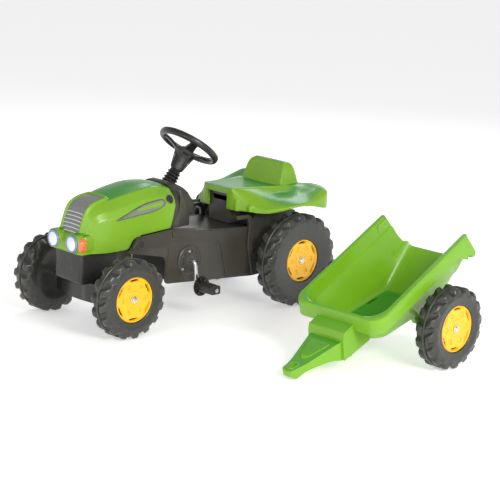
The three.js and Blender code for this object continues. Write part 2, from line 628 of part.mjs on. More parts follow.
// ---------------------------------------------------------------- hitch
add('hitch_bracket', cut(
  across([[-384.5, 118], [-452, 118, 10], [-452, 126, 4], [-400, 126, 6], [-396, 168, 3],
    [-384.5, 168]], -22, 22),
  barZ(5 + GAP, -436, 0, 110, 130, 12)), DARK);
add('hitch_pin', turned(
  [[0, 96], [4, 96], [5, 100], [5, 127], [9, 127], [9, 131], [5, 134], [5, 150], [10, 154],
    [8, 160], [0, 160]], 12).rotateX(Math.PI / 2).translate(-436, 0, 0), STEEL);

// ---------------------------------------------------------------- trailer
// Inside this group the origin is the middle of the axle, +X points along the drawbar.
const trailer = new THREE.Group();
trailer.position.set(TRAILER_X, TRAILER_Y, FRONT_Z);
trailer.rotation.z = TRAILER_YAW;
set.add(trailer);
const tipped = new THREE.Group();
tipped.rotation.y = TRAILER_PITCH;
trailer.add(tipped);

wheel('trailer_left', 1, SMALL_WHEEL, 0, TRAILER_OUTER_Y, 0, trailer);
wheel('trailer_right', -1, SMALL_WHEEL, 0, TRAILER_OUTER_Y, 0, trailer);
const trailerCap = capBack(TRAILER_OUTER_Y);
add('trailer_axle', barY(AXLE_RADIUS, 0, -trailerCap, trailerCap, 0, 12), STEEL, trailer);

// Tub: a tapering bowl whose floor ramps up to the open rear, under a sloping rim.
const WALL = 4;
const RIM = { frontX: 221, frontZ: 105, rearX: -152, rearZ: 193, half: 148, skirt: 42 };
const RIM_SLOPE = Math.atan2(RIM.rearZ - RIM.frontZ, RIM.frontX - RIM.rearX);
const BOWL = { bottomHalf: 92, topHalf: 128, height: 240 };
const bowlRing = (z, half, front, rear, corner) => outline(mirrored([
  [rear, half, 1], [front, half, corner],
])).getPoints(5).slice(0, -1).map((p) => new THREE.Vector3(p.x, p.y, z));
const bowl = (inset) => loft([
  bowlRing(6 + inset, BOWL.bottomHalf - inset, 176 - inset, -240, 46),
  bowlRing(BOWL.height, BOWL.topHalf - inset, 222 - inset, -240, 58),
]);
const tubOuter = meet(bowl(0), across([
  [RIM.frontX + 20, RIM.frontZ - 5], [212, 60], [190, 10, 20], [-60, 10, 60], [-186, 94, 10],
  [-190, 104, 4], [RIM.rearX, RIM.rearZ],
], -200, 200));
const tubInner = meet(bowl(WALL), across([
  [300, 100], [190, 10 + WALL, 20], [-62, 10 + WALL, 60], [-250, 144], [-250, 320], [300, 320],
], -200, 200));
const rimPlan = (inset, rear) => mirrored([
  [rear, RIM.half - inset, 1], [RIM.frontX - inset, RIM.half - inset, 38],
]);
const tilt = (geometry) => geometry.rotateY(RIM_SLOPE)
  .translate(RIM.frontX * (1 - Math.cos(RIM_SLOPE)), 0,
    RIM.frontZ + RIM.frontX * Math.sin(RIM_SLOPE));
const rimRing = cut(
  tilt(upward(rimPlan(0, -162), -RIM.skirt, 0)),
  tilt(upward(rimPlan(WALL, -400), -RIM.skirt - 20, -WALL)),
  bowl(WALL));
const frontBox = across([
  [170, 12, 10], [274, -2, 4], [262, 60, 6], [250, 76, 4], [205, 90], [190, 40],
], -60, 60);
const drawbarPlan = upward(mirrored([[240, 60, 4], [392, 22, 16], [424, 18, 16]]), -20, 60);
const drawbarSide = across([
  [240, -2], [276, -2], [310, 8], [372, 10], [396, 4], [420, 0.6, 3], [424, 10], [424, 28, 4],
  [380, 28], [276, 48], [240, 48],
], -80, 80);
const eyeSlot = upward(
  mirrored([[386, 7, 5], [410, 7, 5]]), -10, 50);
// The end plates of the rim hang down at the open rear.
const tailPlate = (y0) => across(
  [[-112, 146], [-112, 182], [RIM.rearX, RIM.rearZ - 1], [-180, 130], [-173, 121], [-150, 128]],
  y0, y0 + RIM.half - BOWL.topHalf + 4);
const axleLug = (y) => cut(
  across([[-16, -12, 8], [16, -12, 8], [20, 16], [-20, 16]], y - 7, y + 7),
  barY(BORE + 0.2, 0, y - 9, y + 9, 0, 12));
add('trailer_tub', cut(
  join(tubOuter, rimRing, frontBox, meet(drawbarPlan, drawbarSide),
    tailPlate(BOWL.topHalf - 4), tailPlate(-RIM.half), axleLug(78), axleLug(-78)),
  tubInner, eyeSlot), GREEN, tipped);

// ---------------------------------------------------------------- reference point
const group = new THREE.Group();
group.add(set);
group.updateMatrixWorld(true);
const box = new THREE.Box3().setFromObject(set, true);
set.position.set(-(box.min.x + box.max.x) / 2, -(box.min.y + box.max.y) / 2, -box.min.z);

export default group;
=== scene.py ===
"""Looks of the pedal tractor and its trailer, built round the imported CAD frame.

Shapes are written in millimetres in the tractor's own frame: x = 0 halfway between the
axles, y = 0 the centre plane, z = 0 the floor. build() moves them into the row frame.
"""
import json
import math

import bmesh
import bpy
import numpy as np
from mathutils import Matrix, Vector

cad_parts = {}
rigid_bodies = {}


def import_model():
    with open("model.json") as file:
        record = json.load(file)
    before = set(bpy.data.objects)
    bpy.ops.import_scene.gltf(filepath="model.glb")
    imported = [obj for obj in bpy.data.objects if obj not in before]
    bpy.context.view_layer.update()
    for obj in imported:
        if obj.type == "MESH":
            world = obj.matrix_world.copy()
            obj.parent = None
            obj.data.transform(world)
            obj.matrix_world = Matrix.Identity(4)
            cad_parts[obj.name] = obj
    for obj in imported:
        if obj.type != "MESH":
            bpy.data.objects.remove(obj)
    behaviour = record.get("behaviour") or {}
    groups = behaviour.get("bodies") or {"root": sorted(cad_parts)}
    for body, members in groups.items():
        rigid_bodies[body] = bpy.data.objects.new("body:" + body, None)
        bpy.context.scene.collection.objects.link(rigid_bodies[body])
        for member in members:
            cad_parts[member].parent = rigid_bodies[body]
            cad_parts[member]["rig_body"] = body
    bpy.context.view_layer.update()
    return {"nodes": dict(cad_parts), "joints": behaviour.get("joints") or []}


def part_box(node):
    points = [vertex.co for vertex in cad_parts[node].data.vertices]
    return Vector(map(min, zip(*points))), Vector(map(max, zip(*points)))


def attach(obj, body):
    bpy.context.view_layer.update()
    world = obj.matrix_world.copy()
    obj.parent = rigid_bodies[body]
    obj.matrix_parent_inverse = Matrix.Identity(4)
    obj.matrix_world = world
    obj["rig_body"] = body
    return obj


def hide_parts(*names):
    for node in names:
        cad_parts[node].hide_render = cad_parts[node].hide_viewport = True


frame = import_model()
MM = 0.001


# ------------------------------------------------------------------ frame of reference
def middle(node):
    low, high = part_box(node)
    return (low + high) / 2


FRONT_HUB = middle("front_left_tyre")
REAR_HUB = middle("rear_left_tyre")
ORIGIN = np.array([
    (FRONT_HUB.x + REAR_HUB.x) / 2 / MM, middle("chassis_deck").y / MM, 0.0])
FRONT_Z = FRONT_HUB.z / MM
REAR_Z = REAR_HUB.z / MM
JOINTS = {joint["name"]: joint for joint in frame["joints"]}


def pivot(name):
    return np.array(JOINTS[name]["pos_m"]) / MM - ORIGIN


TILT = math.radians(36)
STEERING = pivot("steering_turn")
TRAILER = pivot("trailer_tip")
YAW = math.asin(JOINTS["trailer_tip"]["axis"][0])
PITCH = math.radians(15.2)


def turn_z(angle):
    c, s = math.cos(angle), math.sin(angle)
    return np.array([[c, -s, 0], [s, c, 0], [0, 0, 1]])


def turn_y(angle):
    c, s = math.cos(angle), math.sin(angle)
    return np.array([[c, 0, s], [0, 1, 0], [-s, 0, c]])


def in_trailer(points, tipped=True):
    """From the trailer's own axes, with the axle as origin, to the tractor's frame."""
    turn = turn_z(YAW) @ turn_y(PITCH) if tipped else turn_z(YAW)
    return np.asarray(points, float) @ turn.T + TRAILER


COLUMN = np.array([
    [math.cos(TILT), 0, math.sin(TILT)],
    [0, 1, 0],
    [-math.sin(TILT), 0, math.cos(TILT)],
])


def on_column(points):
    """x towards the front of the steering wheel, y left, z up the column."""
    return np.asarray(points, float) @ COLUMN + STEERING


# ------------------------------------------------------------------ materials
def colour(r, g, b):
    """Display colour 0-255 to linear."""
    out = []
    for v in (r, g, b):
        v /= 255
        out.append(v / 12.92 if v <= 0.04045 else ((v + 0.055) / 1.055) ** 2.4)
    return (*out, 1.0)


def shade(c, k):
    return (*(min(1.0, v * k) for v in c[:3]), 1.0)


class Nodes:
    def __init__(self, name):
        self.material = bpy.data.materials.new(name)
        self.material.use_nodes = True
        self.tree = self.material.node_tree
        self.shader = self.tree.nodes["Principled BSDF"]
        self.coord = self.add("ShaderNodeTexCoord")

    def add(self, kind, **values):
        node = self.tree.nodes.new(kind)
        for key, value in values.items():
            setattr(node, key, value)
        return node

    def link(self, a, b):
        self.tree.links.new(a, b)

    def noise(self, scale, detail=4.0, rough=0.55):
        node = self.add("ShaderNodeTexNoise")
        node.inputs["Scale"].default_value = scale
        node.inputs["Detail"].default_value = detail
        node.inputs["Roughness"].default_value = rough
        self.link(self.coord.outputs["Object"], node.inputs["Vector"])
        return node.outputs["Fac"]

    def ramp(self, value, low, high, a, b):
        node = self.add("ShaderNodeMapRange", interpolation_type="SMOOTHSTEP")
        node.inputs["From Min"].default_value = low
        node.inputs["From Max"].default_value = high
        node.inputs["To Min"].default_value = a
        node.inputs["To Max"].default_value = b
        self.link(value, node.inputs["Value"])
        return node.outputs["Result"]

    def mix(self, factor, a, b):
        node = self.add("ShaderNodeMix", data_type="RGBA")
        self.link(factor, node.inputs[0])
        for socket, value in ((node.inputs[6], a), (node.inputs[7], b)):
            if isinstance(value, tuple):
                socket.default_value = value
            else:
                self.link(value, socket)
        return node.outputs[2]


def plastic(name, base, rough=0.4, coat=0.0, grain=900.0, bump=0.04, wear=0.35, metal=0.0,
            spread=0.12, spec=0.5, up_shade_colour=None):
    """Moulded plastic or metal: mottled colour, worn edges, uneven gloss and a fine grain.
    The second colour, if given, is painted shade: surfaces that look up are painted darker, standing in
    for the dimmer light that reaches the tops."""
    n = Nodes(name)
    soft = n.noise(9.0, 3.0)
    fine = n.noise(grain, 2.0)
    mottled = n.mix(n.ramp(soft, 0.3, 0.7, 0, 1), shade(base, 1 - spread), shade(base, 1 + spread))
    geometry = n.add("ShaderNodeNewGeometry")
    # Painted shade: faces whose normal points up blend into the darker second colour.
    if up_shade_colour:
        level = n.add("ShaderNodeSeparateXYZ")
        n.link(geometry.outputs["Normal"], level.inputs[0])
        mottled = n.mix(n.ramp(level.outputs["Z"], 0.80, 0.97, 0, 1), mottled, up_shade_colour)
    scuffs = n.noise(160.0, 5.0, 0.7)
    edge = n.ramp(geometry.outputs["Pointiness"], 0.51, 0.60, 0, wear)
    worn = n.add("ShaderNodeMath", operation="MULTIPLY")
    n.link(edge, worn.inputs[0])
    n.link(n.ramp(scuffs, 0.35, 0.65, 0.2, 1), worn.inputs[1])
    pale = tuple(0.55 * v + 0.22 for v in base[:3]) + (1.0,)
    n.link(n.mix(worn.outputs[0], mottled, pale), n.shader.inputs["Base Color"])
    n.link(n.ramp(scuffs, 0.3, 0.75, rough * 0.85, min(1.0, rough * 1.3)),
           n.shader.inputs["Roughness"])
    n.shader.inputs["Metallic"].default_value = metal
    n.shader.inputs["Specular IOR Level"].default_value = spec
    n.shader.inputs["Coat Weight"].default_value = coat
    n.shader.inputs["Coat Roughness"].default_value = 0.12
    bump_node = n.add("ShaderNodeBump")
    bump_node.inputs["Strength"].default_value = bump
    bump_node.inputs["Distance"].default_value = 0.001
    n.link(fine, bump_node.inputs["Height"])
    n.link(bump_node.outputs["Normal"], n.shader.inputs["Normal"])
    return n.material


GREEN_C = colour(120, 168, 28)
# The darker greens given for surfaces that look up are painted shade on the tops, not a second plastic.
UP_SHADE_C = colour(46, 138, 30)
green = plastic("green_moulded", GREEN_C, 0.34, 0.14, 700, 0.008, 0.1, spread=0.03, up_shade_colour=UP_SHADE_C)
trailer_green = plastic("green_tub", colour(116, 172, 26), 0.32, 0.18, 700, 0.008, 0.08, spread=0.03,
                        up_shade_colour=colour(58, 150, 30))
yellow = plastic("yellow_disc", colour(252, 190, 2), 0.3, 0.3, 700, 0.012, 0.1, spread=0.03)
dark = plastic("dark_moulded", colour(58, 56, 49), 0.38, 0.08, 1400, 0.06, 0.2)
tyre_dark = plastic("tyre_moulded", colour(50, 50, 47), 0.34, 0.15, 1200, 0.06, 0.22)
black = plastic("black_moulded", colour(32, 31, 30), 0.34, 0.12, 1100, 0.08, 0.25)
# Near-black painted shade for the floors and walls of the disc slots and the cover vents.
recess_shade = plastic("painted_recess_shade", colour(24, 23, 21), 0.7, 0.0, 900, 0.05, 0.0)
silver = plastic("silver_film", colour(128, 130, 128), 0.3, 0.3, 600, 0.012, 0.1, metal=0.25)
silver_light = plastic("silver_bars", colour(205, 208, 206), 0.3, 0.2, 600, 0.03, 0.1, metal=0.2)
outline_dark = plastic("film_outline", colour(70, 74, 70), 0.4, 0.1, 600, 0.02, 0.0)
lens = plastic("lamp_white", colour(228, 236, 244), 0.16, 0.6, 500, 0.02, 0.0, spread=0.03)
lens_ring = plastic("lamp_ring", colour(128, 140, 186), 0.2, 0.5, 500, 0.02, 0.0)
amber = plastic("lamp_orange", colour(238, 120, 62), 0.2, 0.6, 500, 0.03, 0.0)
chrome = plastic("bright_steel", colour(222, 224, 228), 0.14, 0.0, 500, 0.02, 0.0, metal=1.0,
                 spread=0.04)
steel = plastic("plain_steel", colour(168, 170, 172), 0.34, 0.0, 900, 0.06, 0.2, metal=1.0)


# ------------------------------------------------------------------ building pieces
def build(name, points, faces, materials, body, slot, replaces=(), smooth=True, index=None,
          bevel=0.0, segments=2, angle=40, subsurf=0):
    """A piece from points in millimetres in the tractor's frame."""
    mesh = bpy.data.meshes.new(name)
    moved = (np.asarray(points, float) + ORIGIN) * MM
    mesh.from_pydata([tuple(p) for p in moved], [], [tuple(map(int, f)) for f in faces])
    return dress(name, mesh, materials, body, slot, replaces, smooth, index, bevel, segments,
                 angle, subsurf)


def dress(name, mesh, materials, body, slot, replaces=(), smooth=True, index=None,
          bevel=0.0, segments=2, angle=40, subsurf=0):
    materials = materials if isinstance(materials, (list, tuple)) else [materials]
    for material in materials:
        mesh.materials.append(material)
    if index is not None:
        mesh.polygons.foreach_set("material_index", np.asarray(index, np.int32))
    bm = bmesh.new()
    bm.from_mesh(mesh)
    bmesh.ops.remove_doubles(bm, verts=bm.verts, dist=1e-6)
    bmesh.ops.recalc_face_normals(bm, faces=bm.faces)
    bm.to_mesh(mesh)
    bm.free()
    piece = bpy.data.objects.new(name, mesh)
    bpy.context.scene.collection.objects.link(piece)
    if bevel:
        modifier = piece.modifiers.new("bevel", "BEVEL")
        modifier.width = bevel * MM
        modifier.segments = segments
        modifier.limit_method = "ANGLE"
        modifier.angle_limit = math.radians(angle)
        modifier.harden_normals = False
    if subsurf:
        modifier = piece.modifiers.new("smooth", "SUBSURF")
        modifier.levels = modifier.render_levels = subsurf
    if smooth:
        mesh.polygons.foreach_set("use_smooth", [True] * len(mesh.polygons))
        mesh.set_sharp_from_angle(angle=math.radians(angle))
    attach(piece, body)
    if replaces:
        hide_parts(*replaces)
    return piece


def merge(*parts):
    """Joins (points, faces) lists into one."""
    points, faces, start = [], [], 0
    for part_points, part_faces in parts:
        points.extend(map(tuple, part_points))
        faces.extend(tuple(i + start for i in face) for face in part_faces)
        start += len(part_points)
    return points, faces


def ring_skin(rings, closed_rings=True, loop=False, caps=True):
    """A skin through rings of equal length."""
    count = len(rings[0])
    points = [p for ring in rings for p in ring]
    faces = []
    spans = len(rings) if loop else len(rings) - 1
    for r in range(spans):
        s = (r + 1) % len(rings)
        for i in range(count if closed_rings else count - 1):
            j = (i + 1) % count
            faces.append((r * count + i, r * count + j, s * count + j, s * count + i))
    if caps and not loop:
        faces.append(tuple(range(count)))
        faces.append(tuple((len(rings) - 1) * count + i for i in reversed(range(count))))
    return points, faces


def revolve(profile, segments=48, closed=True):
    """A profile of (radius, height) turned about Y."""
    rings = []
    for k in range(segments):
        a = 2 * math.pi * k / segments
        rings.append([(r * math.sin(a), h, r * math.cos(a)) for r, h in profile])
    return ring_skin(rings, closed_rings=closed, loop=True, caps=False)


def rounded(corners, steps=4):
    """A closed outline; a corner (x, y, r) is rounded."""
    out = []
    n = len(corners)
    for i, corner in enumerate(corners):
        here = np.array(corner[:2], float)
        radius = corner[2] if len(corner) > 2 else 0
        if radius <= 0:
            out.append(tuple(here))
            continue
        before = np.array(corners[i - 1][:2], float) - here
        after = np.array(corners[(i + 1) % n][:2], float) - here
        d = min(radius, np.linalg.norm(before) * 0.49, np.linalg.norm(after) * 0.49)
        start = here + before / np.linalg.norm(before) * d
        end = here + after / np.linalg.norm(after) * d
        for k in range(steps + 1):
            t = k / steps
            out.append(tuple((1 - t) ** 2 * start + 2 * t * (1 - t) * here + t * t * end))
    return out


def prism(corners, low, high, axis="y", steps=4):
    """An outline pushed from low to high. axis y: outline in x, z. axis z: in x, y.
    axis x: in y, z."""
    flat = rounded(corners, steps)
    put = {
        "y": lambda a, b, c: (a, c, b),
        "z": lambda a, b, c: (a, b, c),
        "x": lambda a, b, c: (c, a, b),
    }[axis]
    return ring_skin([[put(a, b, low) for a, b in flat], [put(a, b, high) for a, b in flat]])


def moved(part, offset=(0, 0, 0), turn=None):
    points = np.asarray(part[0], float)
    if turn is not None:
        points = points @ np.asarray(turn).T
    return [tuple(p) for p in points + np.asarray(offset, float)], part[1]


def flipped(part):
    """Mirror image across the centre plane."""
    return [(x, -y, z) for x, y, z in part[0]], [tuple(reversed(f)) for f in part[1]]


def rod(path, radius, sides=16, closed=False):
    """A round bar along a path of points."""
    path = [Vector(p) for p in path]
    normal = None
    rings = []
    for i, p in enumerate(path):
        a = path[i - 1] if i > 0 else (path[-1] if closed else p)
        b = path[(i + 1) % len(path)] if (closed or i + 1 < len(path)) else p
        tangent = (b - a).normalized()
        if normal is None:
            normal = tangent.orthogonal().normalized()
        normal = (normal - tangent * normal.dot(tangent)).normalized()
        side = tangent.cross(normal)
        r = radius[i] if isinstance(radius, (list, tuple)) else radius
        rings.append([
            tuple(p + normal * r * math.cos(t) + side * r * math.sin(t))
            for t in (2 * math.pi * k / sides for k in range(sides))])
    return ring_skin(rings, loop=closed, caps=not closed)


def bent(points, radius=12, steps=6):
    """Rounds the corners of a path in space."""
    points = [Vector(p) for p in points]
    out = [points[0]]
    for before, here, after in zip(points, points[1:], points[2:]):
        a, b = before - here, after - here
        start = here + a.normalized() * min(radius, a.length / 2)
        end = here + b.normalized() * min(radius, b.length / 2)
        for k in range(steps + 1):
            t = k / steps
            out.append(start * (1 - t) ** 2 + here * 2 * t * (1 - t) + end * t * t)
    return out + [points[-1]]


def spline(points, per=6):
    """A smooth curve through points (rows of numbers)."""
    p = np.asarray(points, float)
    p = np.vstack([2 * p[0] - p[1], p, 2 * p[-1] - p[-2]])
    out = []
    for i in range(1, len(p) - 2):
        a, b, c, d = p[i - 1:i + 3]
        for k in range(per):
            t = k / per
            out.append(0.5 * (2 * b + (c - a) * t + (2 * a - 5 * b + 4 * c - d) * t * t
                              + (3 * b - a - 3 * c + d) * t ** 3))
    out.append(p[-2])
    return np.array(out)


def smoothstep(low, high, v):
    t = np.clip((np.asarray(v, float) - low) / (high - low), 0, 1)
    return t * t * (3 - 2 * t)


def solid_object(name, part):
    mesh = bpy.data.meshes.new(name)
    mesh.from_pydata([tuple(Vector(p) * MM) for p in part[0]], [], [tuple(f) for f in part[1]])
    bm = bmesh.new()
    bm.from_mesh(mesh)
    bmesh.ops.remove_doubles(bm, verts=bm.verts, dist=1e-7)
    bmesh.ops.recalc_face_normals(bm, faces=bm.faces)
    bmesh.ops.triangulate(bm, faces=[f for f in bm.faces if len(f.verts) > 4])
    bm.to_mesh(mesh)
    bm.free()
    piece = bpy.data.objects.new(name, mesh)
    bpy.context.scene.collection.objects.link(piece)
    return piece


def evaluated(piece):
    """A new mesh of the piece with its modifiers applied."""
    graph = bpy.context.evaluated_depsgraph_get()
    return bpy.data.meshes.new_from_object(piece.evaluated_get(graph))


def applied(piece):
    """The piece's mesh with its modifiers applied; the piece itself is removed."""
    mesh = evaluated(piece)
    bpy.data.objects.remove(piece)
    return mesh


def taken(piece):
    """The piece's points in millimetres and its faces; the piece itself is removed."""
    part = ([tuple(v.co / MM) for v in piece.data.vertices],
            [tuple(p.vertices) for p in piece.data.polygons])
    bpy.data.objects.remove(piece)
    return part


def walled(piece, thickness):
    """Gives a skin a wall on its inner side; returns the piece."""
    wall = piece.modifiers.new("wall", "SOLIDIFY")
    wall.thickness = thickness * MM
    wall.offset = -1
    piece.data = evaluated(piece)
    piece.modifiers.clear()
    return piece


def fused(name, parts, voxel, smooth=4, factor=0.5):
    """Overlapping solids melted into one moulded skin."""
    piece = solid_object(name, merge(*parts))
    modifier = piece.modifiers.new("melt", "REMESH")
    modifier.mode = "VOXEL"
    modifier.voxel_size = voxel * MM
    modifier.adaptivity = 0.0
    if smooth:
        soften = piece.modifiers.new("soften", "SMOOTH")
        soften.iterations = smooth
        soften.factor = factor
    mesh = applied(piece)
    return bpy.data.objects.new(name, mesh)


def boolean(target, tools, operation="DIFFERENCE"):
    """Cuts closed tools out of (or intersects them with) an object; returns the object."""
    if target.name not in bpy.context.scene.collection.objects:
        bpy.context.scene.collection.objects.link(target)
    for tool in tools:
        if isinstance(tool, bpy.types.Object):
            cutter = tool
            if cutter.name not in bpy.context.scene.collection.objects:
                bpy.context.scene.collection.objects.link(cutter)
        else:
            cutter = solid_object("cutter", tool)
        modifier = target.modifiers.new("cut", "BOOLEAN")
        modifier.object = cutter
        modifier.operation = operation
        modifier.solver = "EXACT"
        mesh = evaluated(target)
        target.modifiers.clear()
        target.data = mesh
        bpy.data.objects.remove(cutter)
    return target


def released(target):
    """The target's mesh in the row frame, freed from its object."""
    mesh = target.data
    mesh.transform(Matrix.Translation(Vector(ORIGIN) * MM))
    mesh.materials.clear()
    if target.name in bpy.context.scene.collection.objects:
        bpy.context.scene.collection.objects.unlink(target)
    bpy.data.objects.remove(target)
    return mesh


# ------------------------------------------------------------------ wheels
SMALL = {"radius": 109.8, "half": 31.0, "lugs": 16}
LARGE = {"radius": 136.8, "half": 33.0, "lugs": 18}
DISC_R = 61.9
BORE = 6.4


def tyre_part(radius, half, lugs, steps=14):
    """A hollow moulded tyre: rounded lugs either side of a centre rib, scalloped sidewalls."""
    seat = DISC_R + 0.4
    side = [
        (BORE, half - 20.2, 0, 0), (seat, half - 20.2, 0, 0), (seat, half - 6, 0, 0),
        (seat + 1, half - 3.2, 0, 0), (seat + 3.5, half - 2.2, 0, 0), (seat + 8, half - 2.6, 0, 0),
        (seat + 14, half - 1.0, 0, 0), (radius - 27, half, 0, 0), (radius - 22, half, 0, 0.25),
        (radius - 18, half - 0.3, 0, 0.8), (radius - 14.5, half - 1.2, 0.08, 1.0),
        (radius - 11.5, half - 3, 0.5, 0.8), (radius - 9.5, half - 5.5, 0.9, 0.3),
        (radius - 8.6, half - 9, 1.0, 0), (radius - 7.8, half - 13, 0.95, 0),
        (radius - 7, half - 17, 0.82, 0), (radius - 6.2, half - 21, 0.6, 0),
        (radius - 5.4, half * 0.2, 0.3, 0), (radius - 5.2, 4.4, 0.1, 0), (radius - 5.2, 3.4, 0, 0),
        (radius - 2.0, 2.9, 0, 0), (radius - 1.3, 1.6, 0, 0),
    ]
    rest = [(r, -y, up, scoop) for r, y, up, scoop in reversed(side[6:])]
    rest += [(seat + 6, -half + 1, 0, 0), (seat - 4, -half + 12, 0, 0), (BORE, -half + 12, 0, 0)]
    profile = np.array(side + rest)
    profile[:, 0] -= 4.2 * profile[:, 2]
    lift, bite, skew = 11.6, 7.5, 0.35
    rings = []
    for k in range(lugs * steps):
        angle = 2 * math.pi * k / (lugs * steps)
        y = profile[:, 1]
        phase = (k / steps + skew * np.abs(y) / half + np.where(y < 0, 0.5, 0.0)) % 1.0
        lug = smoothstep(0.08, 0.30, phase) * (1 - smoothstep(0.66, 0.84, phase))
        r = profile[:, 0] + lug * (lift * profile[:, 2] - bite * profile[:, 3])
        across = y + np.sign(y) * lug * profile[:, 2] * 0.8
        across = np.clip(across, -half, half)
        rings.append(list(zip(r * math.sin(angle), across, r * math.cos(angle))))
    return ring_skin(rings, loop=True, caps=False)


def disc_part(half):
    """The wheel disc: rolled lip, six slots at the rim, six bosses and a raised ring; the slot floors take
    the second material, near-black painted shade.
    """
    back = half - 19.7
    radii = [BORE, 9, 11.5, 12.5, 15, 18, 20.2, 21.4, 22.6, 23.8, 25, 27, 29, 30.5]
    radii += list(np.arange(31.5, 57.4, 1.15)) + [57.6, 58.4, 59.2, 60.2, 61.2, DISC_R]
    steps = 168
    rings, slot_shade_flags = [], []
    for k in range(steps):
        a = 2 * math.pi * k / steps
        slot = (a + math.pi / 6) % (math.pi / 3) - math.pi / 6
        boss = a % (math.pi / 3) - math.pi / 6
        ring, slot_shade_here = [], []
        for r in radii:
            h = 11.6 + 0.9 * float(smoothstep(24, 50, r))
            h += 1.7 * float(smoothstep(20.4, 22, r)) * (1 - float(smoothstep(23.6, 25.2, r)))
            h += 1.2 * (1 - float(smoothstep(19.4, 20.8, r))) * float(smoothstep(11.8, 13, r))
            h += 2.8 * float(smoothstep(56.9, 58.4, r)) * (1 - 0.7 * float(smoothstep(60.6, 61.9, r)))
            away = math.hypot(r * math.cos(boss) - 38.5, r * math.sin(boss))
            h += 3.4 * (1 - float(smoothstep(5.6, 7.6, away)))
            h -= 4.6 * (1 - float(smoothstep(2.0, 3.2, away)))
            chord = r * math.cos(slot) - 50.2
            inside = min(chord, 56.6 - r, 0.95 * (16.2 - math.degrees(abs(slot))))
            h -= 8.5 * float(smoothstep(0, 1.5, inside))
            # Painted shade: points deep inside a slot are marked for the near-black material.
            slot_shade_here.append(inside > 0.5)
            ring.append((r * math.sin(a), back + h, r * math.cos(a)))
        ring += [(DISC_R * math.sin(a), back, DISC_R * math.cos(a)),
                 (BORE * math.sin(a), back, BORE * math.cos(a))]
        rings.append(ring)
        slot_shade_flags.append(slot_shade_here + [False, False])
    points, faces = ring_skin(rings, loop=True, caps=False)
    count = len(rings[0])
    # Faces deep in a slot get material 1, the near-black painted shade.
    index = []
    for face in faces:
        index.append(1 if sum(slot_shade_flags[i // count][i % count] for i in face) >= 3 else 0)
    return (points, faces), index


def cap_part(half):
    b = half - 7.4
    return revolve([
        (0, b), (9.8, b), (9.8, b + 1.1), (7.8, b + 1.7), (7.5, b + 3.4), (6.4, b + 5.1),
        (4.4, b + 5.9), (3.0, b + 5.9), (2.5, b + 4.4), (0, b + 4.2)], 36)


def body_of(node):
    return frame["nodes"][node]["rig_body"]


for place, size, side in (
        ("front_left", SMALL, 1), ("front_right", SMALL, -1), ("rear_left", LARGE, 1),
        ("rear_right", LARGE, -1), ("trailer_left", SMALL, 1), ("trailer_right", SMALL, -1)):
    hub = np.array(middle(f"{place}_tyre")) / MM - ORIGIN
    yaw = YAW if place.startswith("trailer") else 0.0
    turn = turn_z(yaw + (0 if side > 0 else math.pi))
    part = moved(tyre_part(size["radius"], size["half"], size["lugs"]), hub, turn)
    build(f"{place}_tyre_lugged", *part, tyre_dark, body_of(f"{place}_tyre"), "tyre_plastic",
          [f"{place}_tyre"], angle=55)
    part, index = disc_part(size["half"])
    build(f"{place}_disc_slotted", *moved(part, hub, turn), [yellow, recess_shade],
          body_of(f"{place}_disc"), "yellow_plastic", [f"{place}_disc"], index=index, angle=50)
    build(f"{place}_cap_bolt", *moved(cap_part(size["half"]), hub, turn), chrome,
          body_of(f"{place}_axle_cap"), "bright_steel", [f"{place}_axle_cap"], angle=35)


# ------------------------------------------------------------------ bonnet
SKIRT = [
    (412, 226, 8), (396, 213, 10), (315, 214), (245, 217, 8), (231, 242, 12), (210, 251, 10),
    (97, 259, 3), (86, 294, 30), (77, 336, 30), (74, 360, 16), (86, 375, 12), (103, 383),
    (103, 420), (420, 420),
]
STATIONS = spline([
    (60, 367, 56, 88, 12), (110, 380, 58, 89, 12), (160, 382, 60, 89, 12),
    (210, 375, 60, 89, 12), (255, 365, 57, 88, 10), (290, 355, 52, 85, 7),
    (315, 350, 48, 81, 5), (335, 343, 46, 75, 4), (349, 333, 45, 69, 4), (358, 319, 45, 63, 4),
    (365, 300, 44, 58, 4), (372, 278, 43, 54, 4), (378, 250, 42, 51, 4), (380, 215, 42, 51, 4),
], 4)


def bonnet_half(station, grow=0.0):
    """Half a section from the centre of the crown to the bottom: points (y, z)."""
    _, top, crease, half, drop = station
    top, crease, half = top + grow, crease + grow * 0.5, half + grow
    shoulder = half * 0.66 + crease * 0.34
    return [
        (0, top), (crease * 0.5, top - drop * 0.15), (crease * 0.86, top - drop * 0.5),
        (crease - 1, top - drop * 0.8), (crease + 2.5, top - drop - 2.5),
        (crease * 0.6 + shoulder * 0.4, top - drop - 7.5), (shoulder, top - drop - 20),
        (half * 0.93 + shoulder * 0.07, top - drop - 40), (half - 0.5, top - drop - 60),
        (half, top - drop - 84), (half, 160),
    ]


def bonnet_loft(grow=0.0):
    rings = []
    for i, station in enumerate(STATIONS):
        half = bonnet_half(station, grow)
        x = station[0] + (grow if i == len(STATIONS) - 1 else 0)
        left = [(x, y, max(z, 150)) for y, z in half]
        rings.append(left + [(x, -y, z) for _, y, z in reversed(left[1:])])
    return ring_skin(rings)


CROWN = STATIONS[:, :2]
CROWN_RUN = np.concatenate([[0], np.cumsum(np.hypot(*np.diff(CROWN, axis=0).T))])


def crown_at(x):
    """Distance along the crown's centre line at which it passes x."""
    return float(np.interp(x, CROWN[:, 0], CROWN_RUN))


